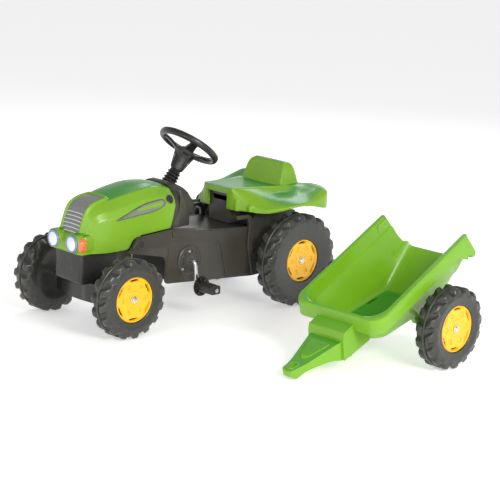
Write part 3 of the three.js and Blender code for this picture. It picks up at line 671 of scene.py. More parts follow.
def on_crown(run, y, lift):
    """A point on the crown panel, lift above it."""
    x, z = (float(np.interp(run, CROWN_RUN, CROWN[:, k])) for k in (0, 1))
    x2, z2 = (float(np.interp(run + 4, CROWN_RUN, CROWN[:, k])) for k in (0, 1))
    x1, z1 = (float(np.interp(run - 4, CROWN_RUN, CROWN[:, k])) for k in (0, 1))
    along = math.hypot(x2 - x1, z2 - z1)
    normal = (-(z2 - z1) / along, (x2 - x1) / along)
    crease = float(np.interp(run, CROWN_RUN, STATIONS[:, 2]))
    drop = float(np.interp(run, CROWN_RUN, STATIONS[:, 4]))
    sag = drop * 0.6 * min(1.3, abs(y) / crease) ** 2
    return (x + normal[0] * lift, y, z - sag + normal[1] * lift)


LAMP = {"x": 402, "y": 40, "z": 242, "radius": 24}
GRILLE = {"top": crown_at(290), "foot": CROWN_RUN[-1] - 30, "half": 36}
CHIN_SIDE = [(345, 209), (391, 209, 10), (404, 224, 10), (401, 247, 12), (380, 264, 10), (345, 266)]
CHIN_PLAN = [(325, 66), (386, 66, 30), (404, 42, 14), (404, -42, 14), (386, -66, 30), (325, -66)]
chin = boolean(solid_object("chin", prism(CHIN_SIDE, -70, 70)),
               [prism(CHIN_PLAN, 195, 280, "z")], "INTERSECT")
chin_part = taken(chin)
barrels = [
    moved(revolve([(0, 0), (28.5, 0), (28.5, 60), (27.6, 61.6), (24.9, 61.4), (24.6, 57), (0, 57)], 48),
          (341, side * LAMP["y"], LAMP["z"]), turn_z(-math.pi / 2)) for side in (1, -1)]
lamp_blocks = [prism([(side * 40, 222, 8), (side * 69.5, 222, 8), (side * 69.5, 262, 12),
                      (side * 40, 270, 12)], 322, 378, "x") for side in (1, -1)]
rail = GRILLE["half"] + 4.6
frame_path = [on_crown(run, rail, 1.5) for run in np.linspace(GRILLE["foot"], GRILLE["top"] + 6, 24)]
frame_path += [on_crown(GRILLE["top"] + 6 - 9 * math.sin(a), rail - 8 + 8 * math.cos(a), 1.5)
               for a in np.linspace(0.2, 1.5, 6)]
frame_path += [on_crown(GRILLE["top"] - 3 - 2.5 * (1 - (y / 28) ** 2), y, 1.5)
               for y in np.linspace(26, 0, 7)]
frame_path += [(x, -y, z) for x, y, z in reversed(frame_path[:-1])]
grille_frame = rod(frame_path, 5.0, 14)
skin = fused("bonnet_skin", [bonnet_loft(), chin_part, grille_frame, *barrels, *lamp_blocks],
             1.9, 4)
skin.data.materials.append(green)
trimmer = solid_object("trimmer", prism(SKIRT, -130, 130, "y", 5))
# The near-black painted-shade material only tags the trimmed faces here; they are deleted below.
trimmer.data.materials.append(recess_shade)
skin = boolean(skin, [trimmer], "INTERSECT")
bm = bmesh.new()
bm.from_mesh(skin.data)
cut_faces = [f for f in bm.faces if f.material_index == 1]
bmesh.ops.delete(bm, geom=cut_faces, context="FACES")
bm.to_mesh(skin.data)
bm.free()
dress("bonnet_moulding", released(walled(skin, 3.5)), green, "chassis_body", "green_plastic", ["bonnet"],
      angle=35)


# ------------------------------------------------------------------ shorthand for the rest
def piece(name, part, material, node, slot, replaces=True, **options):
    return build(name, *part, material, body_of(node), slot, [node] if replaces else [], **options)


def carved(name, part, cuts, material, node, slot, keep=(), replaces=True, **options):
    """A solid cut to shape by other solids."""
    target = solid_object(name, part)
    boolean(target, keep, "INTERSECT")
    boolean(target, cuts)
    return dress(name, released(target), material, body_of(node), slot,
                 [node] if replaces else [], **options)


def turned_z(profile, segments=48):
    """A profile of (radius, height) turned about Z."""
    points, faces = revolve(profile, segments)
    return [(x, z, y) for x, y, z in points], faces


def hand(side):
    return "left" if side > 0 else "right"


# ------------------------------------------------------------------ grille, lamps and film
def grille_part():
    """Plain film above, overlapping slats below, each with a bright lower lip."""
    rows, tone = [], []
    slats = 8
    start = GRILLE["foot"] - slats * 10.4
    for run in np.linspace(GRILLE["top"] - 1, start, 14):
        rows.append((run, 2.4))
    for k in range(slats):
        base = start + k * 10.4
        rows += [(base + 1.2, 2.2), (base + 4, 2.4), (base + 7.6, 3.3), (base + 8.9, 3.6),
                 (base + 9.9, 3.4), (base + 10.3, 1.6)]
    half = GRILLE["half"]
    across = [-half - 0.6, -half + 3, -half + 6, -20, -10, 0, 10, 20, half - 6, half - 3, half + 0.6]
    top = [[on_crown(run, y, lift) for y in across] for run, lift in rows]
    under = [[on_crown(run, y, 0.4) for y in across] for run, _ in rows]
    rings = [a + b[::-1] for a, b in zip(top, under)]
    points, faces = ring_skin(rings)
    count = len(rings[0])
    for face in faces:
        ring = min(face) // count
        slat = (ring - 14) % 6 if ring >= 14 else -1
        tone.append(1 if slat in (2, 3) and len(face) == 4 else 0)
    return (points, faces), tone


part, tone = grille_part()
build("grille_slats", *part, [silver, silver_light], "chassis_body", "silver_plastic", ["grille"],
      index=tone, angle=50)

for side in (1, -1):
    centre = (LAMP["x"], side * LAMP["y"], LAMP["z"])
    glass = revolve([
        (0, -2), (23.6, -2), (23.8, 1.2), (22.6, 3.2), (20.4, 3.6), (19.6, 2.6), (18.6, 2.7),
        (16, 4.4), (11, 6.3), (5, 7.3), (0, 7.6)], 56)
    points, faces = moved(glass, centre, turn_z(-math.pi / 2))
    shell_index = []
    for face in faces:
        r = min(math.hypot(points[i][1] - centre[1], points[i][2] - centre[2]) for i in face)
        shell_index.append(1 if r > 18.4 else 0)
    build(f"headlight_{hand(side)}_glass", points, faces, [lens, lens_ring], "chassis_body",
          "white_lens", [f"headlight_{hand(side)}"], index=shell_index, angle=40)
    bulb = []
    for v in np.linspace(0.04, math.pi - 0.04, 20):
        ring = []
        for u in np.linspace(0, 2 * math.pi, 36, endpoint=False):
            wide = math.copysign(abs(math.cos(u)) ** 0.75, math.cos(u))
            tall = math.copysign(abs(math.sin(u)) ** 0.75, math.sin(u))
            out = math.sin(v) ** 0.7
            ring.append((386.5 + 14.2 * wide * out, 63 + 12.6 * math.cos(v), 240 + 19.2 * tall * out))
        bulb.append(ring)
    bulb = ring_skin(bulb)
    piece(f"indicator_{hand(side)}_lens", bulb if side > 0 else flipped(bulb), amber,
          f"indicator_{hand(side)}", "orange_lens", angle=60)


def flank_y(x, z):
    """Half width of the bonnet at a height."""
    i = float(np.interp(x, STATIONS[:, 0], np.arange(len(STATIONS))))
    low = int(min(i, len(STATIONS) - 2))
    station = STATIONS[low] * (1 - (i - low)) + STATIONS[low + 1] * (i - low)
    half = bonnet_half(station)
    return float(np.interp(-z, [-p[1] for p in half], [p[0] for p in half]))


SWOOSH = [(288, 301), (262, 312.5), (232, 324), (200, 334), (174, 339.5), (150, 342), (132, 343),
          (121, 341), (116, 336), (117, 330), (126, 323), (140, 317), (158, 313), (180, 309.5),
          (205, 307.5), (230, 305), (262, 301.5), (282, 299)]


def film(scale_in, lift):
    """The swoosh as a patch lying on the flank."""
    edge = spline(SWOOSH + SWOOSH[:1], 5)[:-1]
    area = sum(a[0] * b[1] - b[0] * a[1] for a, b in zip(edge, np.roll(edge, -1, axis=0)))
    turn = 1 if area > 0 else -1
    ring = []
    for i in range(len(edge)):
        t = edge[(i + 1) % len(edge)] - edge[i - 1]
        n = np.array([-t[1], t[0]]) / (np.linalg.norm(t) + 1e-9) * turn
        ring.append(edge[i] + n * scale_in)
    return [(float(x), flank_y(x, z) + lift, float(z)) for x, z in ring]


def film_part(scale_in, low, high):
    foot, top = film(scale_in, low), film(scale_in, high)
    count = len(foot)
    points = foot + top
    faces = [(i, (i + 1) % count, (i + 1) % count + count, i + count) for i in range(count)]
    n = count
    for ring_start in (0, count):
        for i in range(1, n // 2):
            a, b = i, (n - i) % n
            c, d = i + 1, (n - i - 1) % n
            if c >= d:
                faces.append((ring_start + a, ring_start + c, ring_start + b) if c == d else
                             (ring_start + a, ring_start + b, ring_start + c))
                break
            faces.append((ring_start + a, ring_start + c, ring_start + d, ring_start + b))
        faces.append((ring_start, ring_start + 1, ring_start + n - 1))
    return points, faces


for side in (1, -1):
    border, inner = film_part(0.0, 0.1, 1.0), film_part(2.4, 0.6, 1.5)
    if side < 0:
        border, inner = flipped(border), flipped(inner)
    build(f"swoosh_{hand(side)}_border", *border, outline_dark, "chassis_body", "dark_plastic",
          angle=60)
    build(f"swoosh_{hand(side)}", *inner, silver, "chassis_body", "silver_plastic", angle=60)
    tilt = np.array(Matrix.Rotation(math.radians(19) * side, 3, "X"))
    plug = moved(revolve([(0, -4), (12.6, -4), (12.8, 1.4), (11.8, 2.5), (10.4, 2.6), (9.6, 1.6),
                          (8.4, 1.5), (3, 2.2), (0, 2.4)], 40), (98, side * 81.4, 338.6),
                 tilt if side > 0 else tilt @ turn_z(math.pi))
    piece(f"bonnet_plug_{hand(side)}_cap", plug, black, f"bonnet_plug_{hand(side)}", "black_plastic",
          angle=35)

# ------------------------------------------------------------------ chassis
SIDE_OUTLINE = [
    (120, 104, 12), (-216, 82, 8), (-262, 85, 10), (-372, 112, 14), (-384, 160, 6),
    (-384, 262, 14), (-217, 262, 6), (-206, 230, 10), (10, 243), (10, 251), (93, 257.5),
    (209, 249.5, 8), (229.5, 241, 8), (243.5, 215.5, 4), (256, 212), (245, 206, 3),
    (178, 193, 14), (124, 182, 12), (119, 167, 8)]
ARM_PANEL = [(241, 217, 3), (229, 239, 9), (208, 247.5, 10), (106, 254, 4), (101, 211.5, 4),
             (178, 211.5), (236, 212.5, 3)]
PROUD_BAND = [(98, 255, 4), (98, 233, 6), (25, 222), (-61, 212, 24), (-82, 196, 20), (-96, 148),
              (-110, 92, 4), (-192, 86, 4), (-180, 180, 6), (-184, 226, 4), (8, 241), (12, 250)]
LOWER_PANEL = [(115, 109, 14), (-98, 96, 4), (-88, 150), (-75, 194, 20), (-58, 205, 24),
               (20, 215), (95, 225, 6), (112, 205, 8), (112, 172, 6)]
FLANGE = [(-140, 257, 3), (-140, 267.5, 5), (-190, 267.5, 8), (-205, 246, 10), (-201, 180, 8),
          (-221, 92, 3), (-206, 88, 3), (-184, 180, 8), (-189, 238, 10), (-182, 257, 8)]
for side in (1, -1):
    def put(part):
        return part if side > 0 else flipped(part)
    tag = f"chassis_{hand(side)}"
    node = f"chassis_side_{hand(side)}"
    holes = [put(moved(revolve([(0, 90), (9, 90), (9, 110), (0, 110)], 32), (34, 0, 162))),
             put(moved(revolve([(0, 90), (8.3, 90), (8.3, 110), (0, 110)], 24), (-311, 0, REAR_Z)))]
    carved(f"{tag}_plate", put(prism(SIDE_OUTLINE, 95, 99.4, "y", 6)), holes, dark, node,
           "dark_plastic", bevel=0.8, angle=35)
    for label, corners, low, high, soft in (
            ("arm_panel", ARM_PANEL, 99.2, 101.6, 1.1), ("band", PROUD_BAND, 99.2, 102.4, 1.4),
            ("flange", FLANGE, 99.2, 109.6, 1.6)):
        piece(f"{tag}_{label}", put(prism(corners, low, high, "y", 6)), dark, node, "dark_plastic",
              replaces=False, bevel=soft, segments=3, angle=35)
    carved(f"{tag}_lower_panel", put(prism(LOWER_PANEL, 99.2, 100.3, "y", 6)), holes[:1], dark, node,
           "dark_plastic", replaces=False, bevel=0.5, angle=35)
    marks = []
    for k in range(2):
        marks.append(prism([(22, 208 - 9 * k), (-48, 200 - 9 * k), (-48, 198.6 - 9 * k),
                            (22, 206.6 - 9 * k)], 100, 101.1))
    for k in range(4):
        marks.append(prism([(-208, 152 - 9 * k), (-222, 152 - 9 * k), (-222, 148 - 9 * k),
                            (-208, 148 - 9 * k)], 99, 106))
    piece(f"{tag}_marks", put(merge(*marks)), dark, node, "dark_plastic", replaces=False,
          bevel=0.4, angle=35)
    boss = revolve([(0, 101), (5.2, 101), (5.2, 103.4), (6.4, 103.4), (7, 101.8), (10.4, 101.6),
                    (11.2, 103.8), (13.4, 103.8), (14.2, 102.6), (14.4, 99), (0, 99)], 44)
    piece(f"{tag}_boss", put(moved(boss, (215, 0, 230))), dark, node, "dark_plastic",
          replaces=False, angle=35)

deck = [(101, 108), (101, 244, 8), (8, 242, 6), (-206, 229, 10), (-217, 261, 8), (-383, 261, 14),
        (-383, 122), (-378, 122), (-378, 255, 10), (-222, 255, 6), (-212, 223, 10), (96, 238, 6),
        (96, 108)]
piece("deck_shell", prism(deck, -94.7, 94.7, "y", 6), black, "chassis_deck", "dark_plastic",
      bevel=1.2, angle=30)
ribs = [prism([(60 - 26 * k, 240.8 - 1.62 * k, 0.5), (54 - 26 * k, 240.4 - 1.62 * k, 0.5),
               (54 - 26 * k, 243.8 - 1.62 * k, 1), (60 - 26 * k, 244.2 - 1.62 * k, 1)], -82, 82)
        for k in range(2, 10)]
piece("deck_grips", merge(*ribs), black, "chassis_deck", "dark_plastic", replaces=False,
      bevel=0.6, angle=35)

nose_plan = [(262, 60, 3), (384, 60, 26), (388, 30, 20), (388, -30, 20), (384, -60, 26), (262, -60, 3)]
nose_side = [(262, 150, 8), (284, 130, 12), (386, 130, 12), (389, 211), (262, 211)]
flutes = [moved(turned_z([(0, 138), (4, 140), (4, 204), (0, 206)], 12), (391.2, y, 0))
          for y in (-48, -32, -16, 0, 16, 32, 48)]
carved("nose_casing", prism(nose_plan, 128, 212, "z", 8),
       flutes + [moved(turned_z([(0, 120), (8.3, 120), (8.3, 220), (0, 220)], 24), (311, 0, 0))],
       black, "nose_block", "dark_plastic", keep=[prism(nose_side, -70, 70, "y", 6)], bevel=1.2,
       angle=35)
nose_arm = merge(prism([(150, 188, 4), (261.7, 208), (261.7, 216), (150, 200, 4)], -40, -14),
                 prism([(208, 150, 4), (262, 134, 4), (262, 213), (208, 206, 4)], -58, -38),
                 prism([(208, 150, 4), (262, 134, 4), (262, 213), (208, 206, 4)], 38, 58))
piece("nose_arm", nose_arm, dark, "nose_bridge", "dark_plastic", bevel=1.5, angle=35)

console_side = [
    (95, 259), (84.5, 294), (75.5, 336), (72.5, 360, 14), (80, 374, 6), (62, 380.5, 10),
    (30, 362, 10), (14, 341, 10), (-12, 318, 12), (-17, 290, 8), (8, 282, 8), (8, 252.5)]
console_plan = [(120, 84), (62, 84, 14), (-24, 56, 18), (-24, -56, 18), (62, -84, 14), (120, -84)]
console_section = [(84, 240), (84, 332, 24), (54, 368, 16), (20, 383, 14), (-20, 383, 14),
                   (-54, 368, 16), (-84, 332, 24), (-84, 240)]


def column_tool(profile, segments=40):
    points, faces = turned_z(profile, segments)
    return [tuple(p) for p in on_column(points)], faces


console_hollow = prism([
    (89, 250), (79, 294), (70, 336), (67, 356), (60, 364), (34, 350), (-6, 312), (-10, 296),
    (14, 286), (14, 250)], -42, 42)
carved("console_shell", prism(console_side, -86, 86, "y", 6),
       [console_hollow, column_tool([(0, -260), (11, -260), (11, -90), (0, -90)]),
        column_tool([(0, -134.3), (24, -134.3), (24, -54), (0, -54)])],
       dark, "console", "dark_plastic",
       keep=[prism(console_plan, 230, 400, "z", 8), prism(console_section, -40, 130, "x", 8)],
       bevel=1.8, segments=3, angle=32)
for side in (1, -1):
    rib = prism([(88, 262), (66, 258), (54, 300, 10), (50, 345, 10), (64, 366, 8), (70, 362, 6),
                 (60, 342, 10), (64, 302, 10)], 82, 86)
    piece(f"console_rib_{hand(side)}", rib if side > 0 else flipped(rib), dark, "console",
          "dark_plastic", replaces=False, bevel=1.2, angle=35)
collar = column_tool([(24.3, -134), (27.4, -134), (28.4, -131.5), (28, -128.5), (25.5, -127.5),
                      (24.3, -129)], 48)
piece("console_collar", collar, dark, "console", "dark_plastic", replaces=False, angle=40)

# ------------------------------------------------------------------ steering
rim_profile = [(74.5, -3), (76, -7.5), (80, -10.6), (86, -10.2), (90.4, -7), (91.8, -2),
               (91.8, 3), (90, 6.8), (86, 8.8), (80, 8.8), (76, 6), (74.6, 2)]
wheel_parts = [column_tool(rim_profile, 72)]
for k in range(3):
    bearing = math.pi + k * 2 * math.pi / 3
    c, s = math.cos(bearing), math.sin(bearing)
    spoke_rings = []
    for r, z, wide, thick in ((8, -25, 19, 9), (22, -22, 17, 8), (36, -15, 14, 7.5),
                              (52, -7.5, 12, 6.5), (68, -2, 12.5, 6), (84, 1, 15, 5.5)):
        ring = []
        for t in np.linspace(0, 2 * math.pi, 20, endpoint=False):
            w = wide * np.sign(math.cos(t)) * abs(math.cos(t)) ** 0.6
            h = thick * np.sign(math.sin(t)) * abs(math.sin(t)) ** 0.6
            dip = 2.4 * max(0.0, 1 - abs(w) / (wide * 0.55)) if h > 0 else 0
            ring.append((r * c - w * s, r * s + w * c, z + h * 0.8 - dip))
        spoke_rings.append([tuple(p) for p in on_column(ring)])
    wheel_parts.append(ring_skin(spoke_rings))
wheel_parts.append(column_tool([
    (0, -14), (16, -14.4), (27, -16), (32, -19.5), (34, -24), (30, -30), (24, -36), (20, -44),
    (17.5, -60), (15, -82), (0, -82)], 48))
pad = [(19 * math.cos(t), 24 * math.sin(t)) for t in np.linspace(0, 2 * math.pi, 32, endpoint=False)]
pad_rings = [[(x * k, y * k, z) for x, y in pad] for k, z in
             ((1.0, -20), (1.0, -12.4), (0.93, -10.9), (0.6, -10.4), (0.1, -10.2))]
wheel_parts.append(ring_skin([[tuple(p) for p in on_column(r)] for r in pad_rings]))
for k in range(6):
    a = k * math.pi / 3 + math.pi / 6
    fin = prism([(12, -30), (31, -28, 2), (19, -78, 2), (12, -80)], -1.6, 1.6)
    points = np.array(fin[0]) @ turn_z(a).T
    wheel_parts.append(([tuple(p) for p in on_column(points)], fin[1]))
steering = boolean(fused("steering_skin", wheel_parts, 1.5, 3),
                   [column_tool([(0, -90), (6.3, -90), (6.3, -27), (0, -27)], 24)])
dress("steering_wheel_moulding", released(steering), black, body_of("steering_wheel"),
      "black_plastic", ["steering_wheel"], angle=50)

fold_profile = [(9, -84), (15.5, -84), (16, -85.5)]
for k in range(5):
    top = -86 - 9.6 * k
    wide = 19 + 0.9 * k
    fold_profile += [(14.6 + 0.7 * k, top), (wide - 0.8, top - 3.6), (wide + 0.6, top - 4.6),
                     (wide + 0.4, top - 5.6), (wide - 1.2, top - 6.2), (14.8 + 0.7 * k, top - 9.2)]
fold_profile += [(21, -133.6), (9, -133.6)]
piece("bellows_folds", column_tool(fold_profile, 56), black, "column_bellows", "black_plastic",
      angle=50)

beam_plan = [(289, 134, 4), (319, 134, 12), (337, 96, 40), (347, 30, 30), (347, -30, 30),
             (337, -96, 40), (319, -134, 12), (289, -134, 4)]
grooves = []
for y in (-104, -92, 92, 104):
    grooves.append(prism([(y - 2.2, 70), (y + 2.2, 70), (y + 2.2, 120), (y - 2.2, 120)],
                         334 if abs(y) < 100 else 330, 360, "x"))
tail_plan = [(138, 18, 14), (301, 30), (301, -30), (138, -18, 14)]
beam_tools = grooves + [
    moved(turned_z([(0, 117.5), (8.3, 117.5), (8.3, 130), (0, 130)], 24), (311, 0, 0)),
    moved(revolve([(0, -140), (6.3, -140), (6.3, 140), (0, 140)], 24), (311, 0, FRONT_Z))]
carved("beam_casing", prism(beam_plan, 74, 127, "z", 10), beam_tools, black, "front_axle_beam",
       "dark_plastic", bevel=2.2, segments=3, angle=35)
carved("beam_tail", prism(tail_plan, 98, 104, "z", 8),
       [prism([(150, 10, 5), (194, 10, 5), (194, -10, 5), (150, -10, 5)], 90, 110, "z")],
       black, "front_axle_beam", "dark_plastic", replaces=False, bevel=1.0, angle=35)

# ------------------------------------------------------------------ pedals
CRANK = {"x": 34.0, "z": 162.0, "arm": 68.0, "lean": 0.15}
foot = np.array([-CRANK["arm"] * math.sin(CRANK["lean"]), 0, -CRANK["arm"] * math.cos(CRANK["lean"])])
centre = np.array([CRANK["x"], 0, CRANK["z"]])


def crank_point(y, reach):
    p = centre + foot * reach
    return (p[0], y, p[2])


crank_path = bent([crank_point(210, 1), crank_point(126, 1), crank_point(126, 0),
                   crank_point(-126, 0), crank_point(-126, -1), crank_point(-210, -1)], 12, 8)
piece("crank_rod", rod(crank_path, 6.0, 24), chrome, "crank", "bright_steel", angle=50)
for side in (1, -1):
    node = f"pedal_{hand(side)}"
    hub = crank_point(0, side)
    cup = revolve([(6.4, 141), (24, 141), (27.6, 142.4), (29, 145), (28.4, 147), (26.6, 146),
                   (24.6, 144.4), (12, 144), (10.5, 147), (6.4, 147)], 56)
    webs = [moved(prism([(9, 142), (26.5, 142), (26.5, 146.2, 1), (9, 150, 1)], -1.1, 1.1, "z"), (0, 0, 0),
                  np.array(Matrix.Rotation(k * math.pi / 4 + 0.2, 3, "Y"))) for k in range(8)]
    bar = solid_object("bar", prism(
        [(-17, -12, 5), (17, -12, 5), (17, 12, 5), (-17, 12, 5)], 143.5, 205.6, "y", 5))
    cuts = [prism([(-20, e * 12.6), (20, e * 12.6), (20, e * 9.4), (-20, e * 9.4)], y, y + 4.4)
            for e in (1, -1) for y in (180, 190)]
    cuts.append(revolve([(0, 138), (6.4, 138), (6.4, 210), (0, 210)], 24))
    bar_part = taken(boolean(bar, cuts))
    for label, part, soft in (("cup", merge(cup, *webs), 0.5), ("bar", bar_part, 1.0)):
        part = part if side > 0 else flipped(part)
        piece(f"{node}_{label}", moved(part, hub), black, node, "black_plastic",
              replaces=label == "cup", bevel=soft, angle=40)
    cover = revolve([(7, 0.3), (42, 0.3), (42, 2.6), (40.8, 4), (37, 5.4), (33.5, 5.9), (30, 5.2),
                     (22, 5.4), (18, 6.4), (14, 7.6), (7, 7.7)], 72)
    vents = [prism([(26.2 * math.cos(a) + 2.1 * math.cos(t), 26.2 * math.sin(a) + 2.1 * math.sin(t))
                    for t in np.linspace(0, 2 * math.pi, 14, endpoint=False)], 3.6, 9)
             for a in (k * math.pi / 6 + 0.26 for k in range(12))]
    place = (34, 100, 162)
    plate = solid_object("cover", cover)
    plate.data.materials.append(dark)
    # Painted shade: the vent pockets cut by these take the near-black material.
    vent_shade_cutters = solid_object("vents", merge(*vents))
    vent_shade_cutters.data.materials.append(recess_shade)
    boolean(plate, [vent_shade_cutters])
    index = [p.material_index for p in plate.data.polygons]
    part = moved(taken(plate), place)
    part = part if side > 0 else flipped(part)
    build(f"crank_cover_{hand(side)}_plate", *part, [dark, recess_shade], "chassis_body", "dark_plastic",
          [f"crank_cover_{hand(side)}"], index=index, angle=35)
    screws = []
    for x, z in ((34 + 4, 162 + 26), (34 + 27, 162 - 22)):
        screws.append(moved(revolve([(0, 4), (3.4, 4), (3.6, 6.4), (2.6, 7.4), (1, 7.6), (0, 6.6)], 20),
                            (x, 100, z)))
    screws = merge(*screws)
    build(f"cover_screws_{hand(side)}", *(screws if side > 0 else flipped(screws)), chrome,
          "chassis_body", "bright_steel", angle=35)

# ------------------------------------------------------------------ seat
SEAT_STATIONS = spline([
    [-150, 56, 337, 58, 326, 59, 310, 59, 294, 59, 277],
    [-170, 58, 340, 66, 332, 78, 312, 84, 294, 85, 275],
    [-215, 62, 338, 88, 324, 120, 298, 142, 282, 143, 272],
    [-252, 68, 336, 98, 319, 138, 303, 169, 289, 170, 279],
    [-295, 79, 335, 104, 318, 156, 309, 196, 299, 199, 292],
    [-350, 84, 335, 110, 320, 164, 316, 196, 306, 199, 290],
    [-392, 86, 335, 122, 332, 168, 330, 196, 314, 199, 281],
    [-422, 86, 334, 124, 340, 168, 337, 192, 316, 198, 276],
    [-446, 86, 316, 124, 320, 160, 316, 184, 300, 190, 272],
], 5)


def seat_body():
    rings = []
    for row in SEAT_STATIONS:
        side = spline(np.array(row[1:]).reshape(-1, 2), 3)
        left = [(0, side[0][1] - 2.5), (side[0][0] * 0.8, side[0][1] - 2.0)] + [tuple(p) for p in side]
        ring = [(-y, z) for y, z in reversed(left[1:])] + left
        rings.append([(row[0], y, z) for y, z in ring])
    return ring_skin(rings)


seat_plan = [(-156, 58, 16), (-214, 142, 24), (-292, 198, 30), (-405, 198, 26), (-440, 176, 18),
             (-436, 128, 18), (-414, 70, 14)]
seat_plan += [(x, -y, r) for x, y, r in reversed(seat_plan)]
body = boolean(solid_object("seat_base", seat_body()), [prism(seat_plan, 150, 420, "z", 8)],
               "INTERSECT")
body_part = taken(body)
back_side = [(-322, 318), (-332, 338, 14), (-351, 392, 16), (-364, 400, 12), (-388, 396, 18),
             (-410, 326, 8), (-408, 318)]
back_section = [(83, 305), (80, 350, 20), (75, 384, 22), (60, 401, 26), (-60, 401, 26),
                (-75, 384, 22), (-80, 350, 20), (-83, 305)]
back = boolean(solid_object("seat_back", prism(back_side, -86, 86, "y", 8)),
               [prism(back_section, -430, -270, "x", 8)], "INTERSECT")
dish = solid_object("dish", prism([(-320, 340), (-334.5, 341, 4), (-353.5, 392, 4), (-335, 396)],
                                  -86, 86))
boolean(dish, [prism([(64, 342, 12), (58, 388, 14), (-58, 388, 14), (-64, 342, 12)],
                     -430, -270, "x", 6)], "INTERSECT")
boolean(back, [dish])
back_part = taken(back)
flute_beads = []
for side in (1, -1):
    for x, y, top, r in ((-170, 70, 322, 11), (-193, 104, 308, 12)):
        flute_beads.append(rod([(x - 10, side * (y - 16), top), (x - 2, side * y, top - 20),
                                (x, side * (y + 2), 274)], [r * 0.6, r, r * 0.9], 16))
rolled = [(-158, 56, 337), (-205, 62, 335.5), (-250, 68, 333), (-300, 80, 333), (-330, 84, 333)]
beads = [rod(spline([(x, side * y, z) for x, y, z in rolled], 4), 4.0, 10) for side in (1, -1)]
seat = fused("seat_skin", [body_part, back_part, *flute_beads, *beads], 2.3, 4)
boolean(seat, [prism([(-140, 200), (-140, 321, 6), (-172, 321), (-172, 200)], -42, 42)])
bm = bmesh.new()
bm.from_mesh(seat.data)
bm.normal_update()
bmesh.ops.delete(bm, geom=[f for f in bm.faces if f.normal.z < -0.72], context="FACES")
loose = [v for v in bm.verts if not v.link_faces]
bmesh.ops.delete(bm, geom=loose, context="VERTS")
seen, islands = set(), []
for start in bm.faces:
    if start in seen:
        continue
    stack, island = [start], []
    seen.add(start)
    while stack:
        face = stack.pop()
        island.append(face)
        for edge in face.edges:
            for other in edge.link_faces:
                if other not in seen:
                    seen.add(other)
                    stack.append(other)
    islands.append(island)
islands.sort(key=len)
bmesh.ops.delete(bm, geom=[f for island in islands[:-1] for f in island], context="FACES")
bm.to_mesh(seat.data)
bm.free()
dress("seat_moulding", released(walled(seat, 3.6)), green, "chassis_body", "green_plastic",
      ["seat"], angle=40)

column_cuts = [prism([(-176, 200), (-176, 314), (-242, 314), (-242, 200)], -37, 37),
               prism([(-166, 296), (-172, 296), (-172, 310), (-166, 310)], -30, 30)]
carved("seat_column_box", prism([(-168, 232.5), (-168, 326, 5), (-250, 326, 5), (-250, 262.5),
                                 (-215, 262.5), (-204.5, 232.5)], -44, 44, "y", 5),
       column_cuts, dark, "seat_column", "dark_plastic", bevel=1.8, segments=3, angle=35)

# ------------------------------------------------------------------ trailer
RIM_DROP = (193 - 105) / (221 + 152)


def rim_z(x):
    return 105 + (221 - x) * RIM_DROP


def floor_z(x):
    t = max(0.0, -62 - x)
    soft = 18.0
    return 14 + 0.703 * (t * t / (2 * soft) if t < soft else t - soft / 2)


def u_line(half, front, rear, corner, sides=30, arc=14, nose=10):
    """Left side from the rear, round the front corner to the middle: points (x, y)."""
    line = [(rear + (front - corner - rear) * k / sides, half) for k in range(sides)]
    line += [(front - corner + corner * math.sin(a), half - corner + corner * math.cos(a))
             for a in np.linspace(0, math.pi / 2, arc)]
    line += [(front, (half - corner) * (1 - k / nose)) for k in range(1, nose + 1)]
    return line


def layer(half, front, rear, corner, height):
    line = u_line(half, front, rear, corner)
    left = [(x, y, height(x)) for x, y in line]
    return left + [(x, -y, z) for x, y, z in reversed(left[:-1])]


layers = [
    layer(2, 120, -189, 1, floor_z),
    layer(60, 150, -189, 30, floor_z),
    layer(80, 163, -189, 34, floor_z),
    layer(84, 167, -189, 38, lambda x: floor_z(x) + 1.5),
    layer(89, 172, -189, 42, lambda x: floor_z(x) + 6),
    layer(93, 177, -188, 46, lambda x: floor_z(x) + 14),
    layer(104, 188, -180, 49, lambda x: max(floor_z(x) + 20, 0.5 * rim_z(x) - 12)),
    layer(114, 198, -173, 52, lambda x: max(floor_z(x) + 26, 0.72 * rim_z(x) - 14)),
    layer(122, 205, -165, 54, lambda x: rim_z(x) - 40),
    layer(123, 206, -164, 54, lambda x: rim_z(x) - 38),
    layer(126.5, 209, -163, 54, lambda x: rim_z(x) - 36.2),
    layer(128, 210, -161, 54, lambda x: rim_z(x) - 33),
    layer(131, 212, -152, 53, lambda x: rim_z(x) - 6),
    layer(132, 213, -152, 52, lambda x: rim_z(x) - 1.6),
    layer(135, 215, -152, 50, rim_z),
    layer(144.5, 222.5, -152, 42, rim_z),
    layer(147.2, 224.5, -151, 40, lambda x: rim_z(x) - 2),
    layer(148, 225.2, -149, 39, lambda x: rim_z(x) - 5.5),
    layer(148.4, 225.7, -140, 39, lambda x: rim_z(x) - 24),
    layer(148.7, 226, -132, 39, lambda x: rim_z(x) - 40),
]
count = len(layers[0])
points = [p for row in layers for p in row]
faces = [(r * count + i, r * count + i + 1, (r + 1) * count + i + 1, (r + 1) * count + i)
         for r in range(len(layers) - 1) for i in range(count - 1)]
faces += [(i, i + 1, count - 2 - i, count - 1 - i) for i in range(count // 2)
          if len({i, i + 1, count - 2 - i, count - 1 - i}) == 4]
tub_mesh = bpy.data.meshes.new("tub_skin")
tub_mesh.from_pydata([tuple(Vector(p) * MM) for p in in_trailer(points)], [], faces)
bm = bmesh.new()
bm.from_mesh(tub_mesh)
bmesh.ops.remove_doubles(bm, verts=bm.verts, dist=1e-5)
bmesh.ops.recalc_face_normals(bm, faces=bm.faces)
bm.normal_update()
up_faces = [f for f in bm.faces if abs(f.normal.z) > 0.9]
if sum(f.normal.z * f.calc_area() for f in up_faces) < 0:
    bmesh.ops.reverse_faces(bm, faces=bm.faces)
bm.to_mesh(tub_mesh)
bm.free()
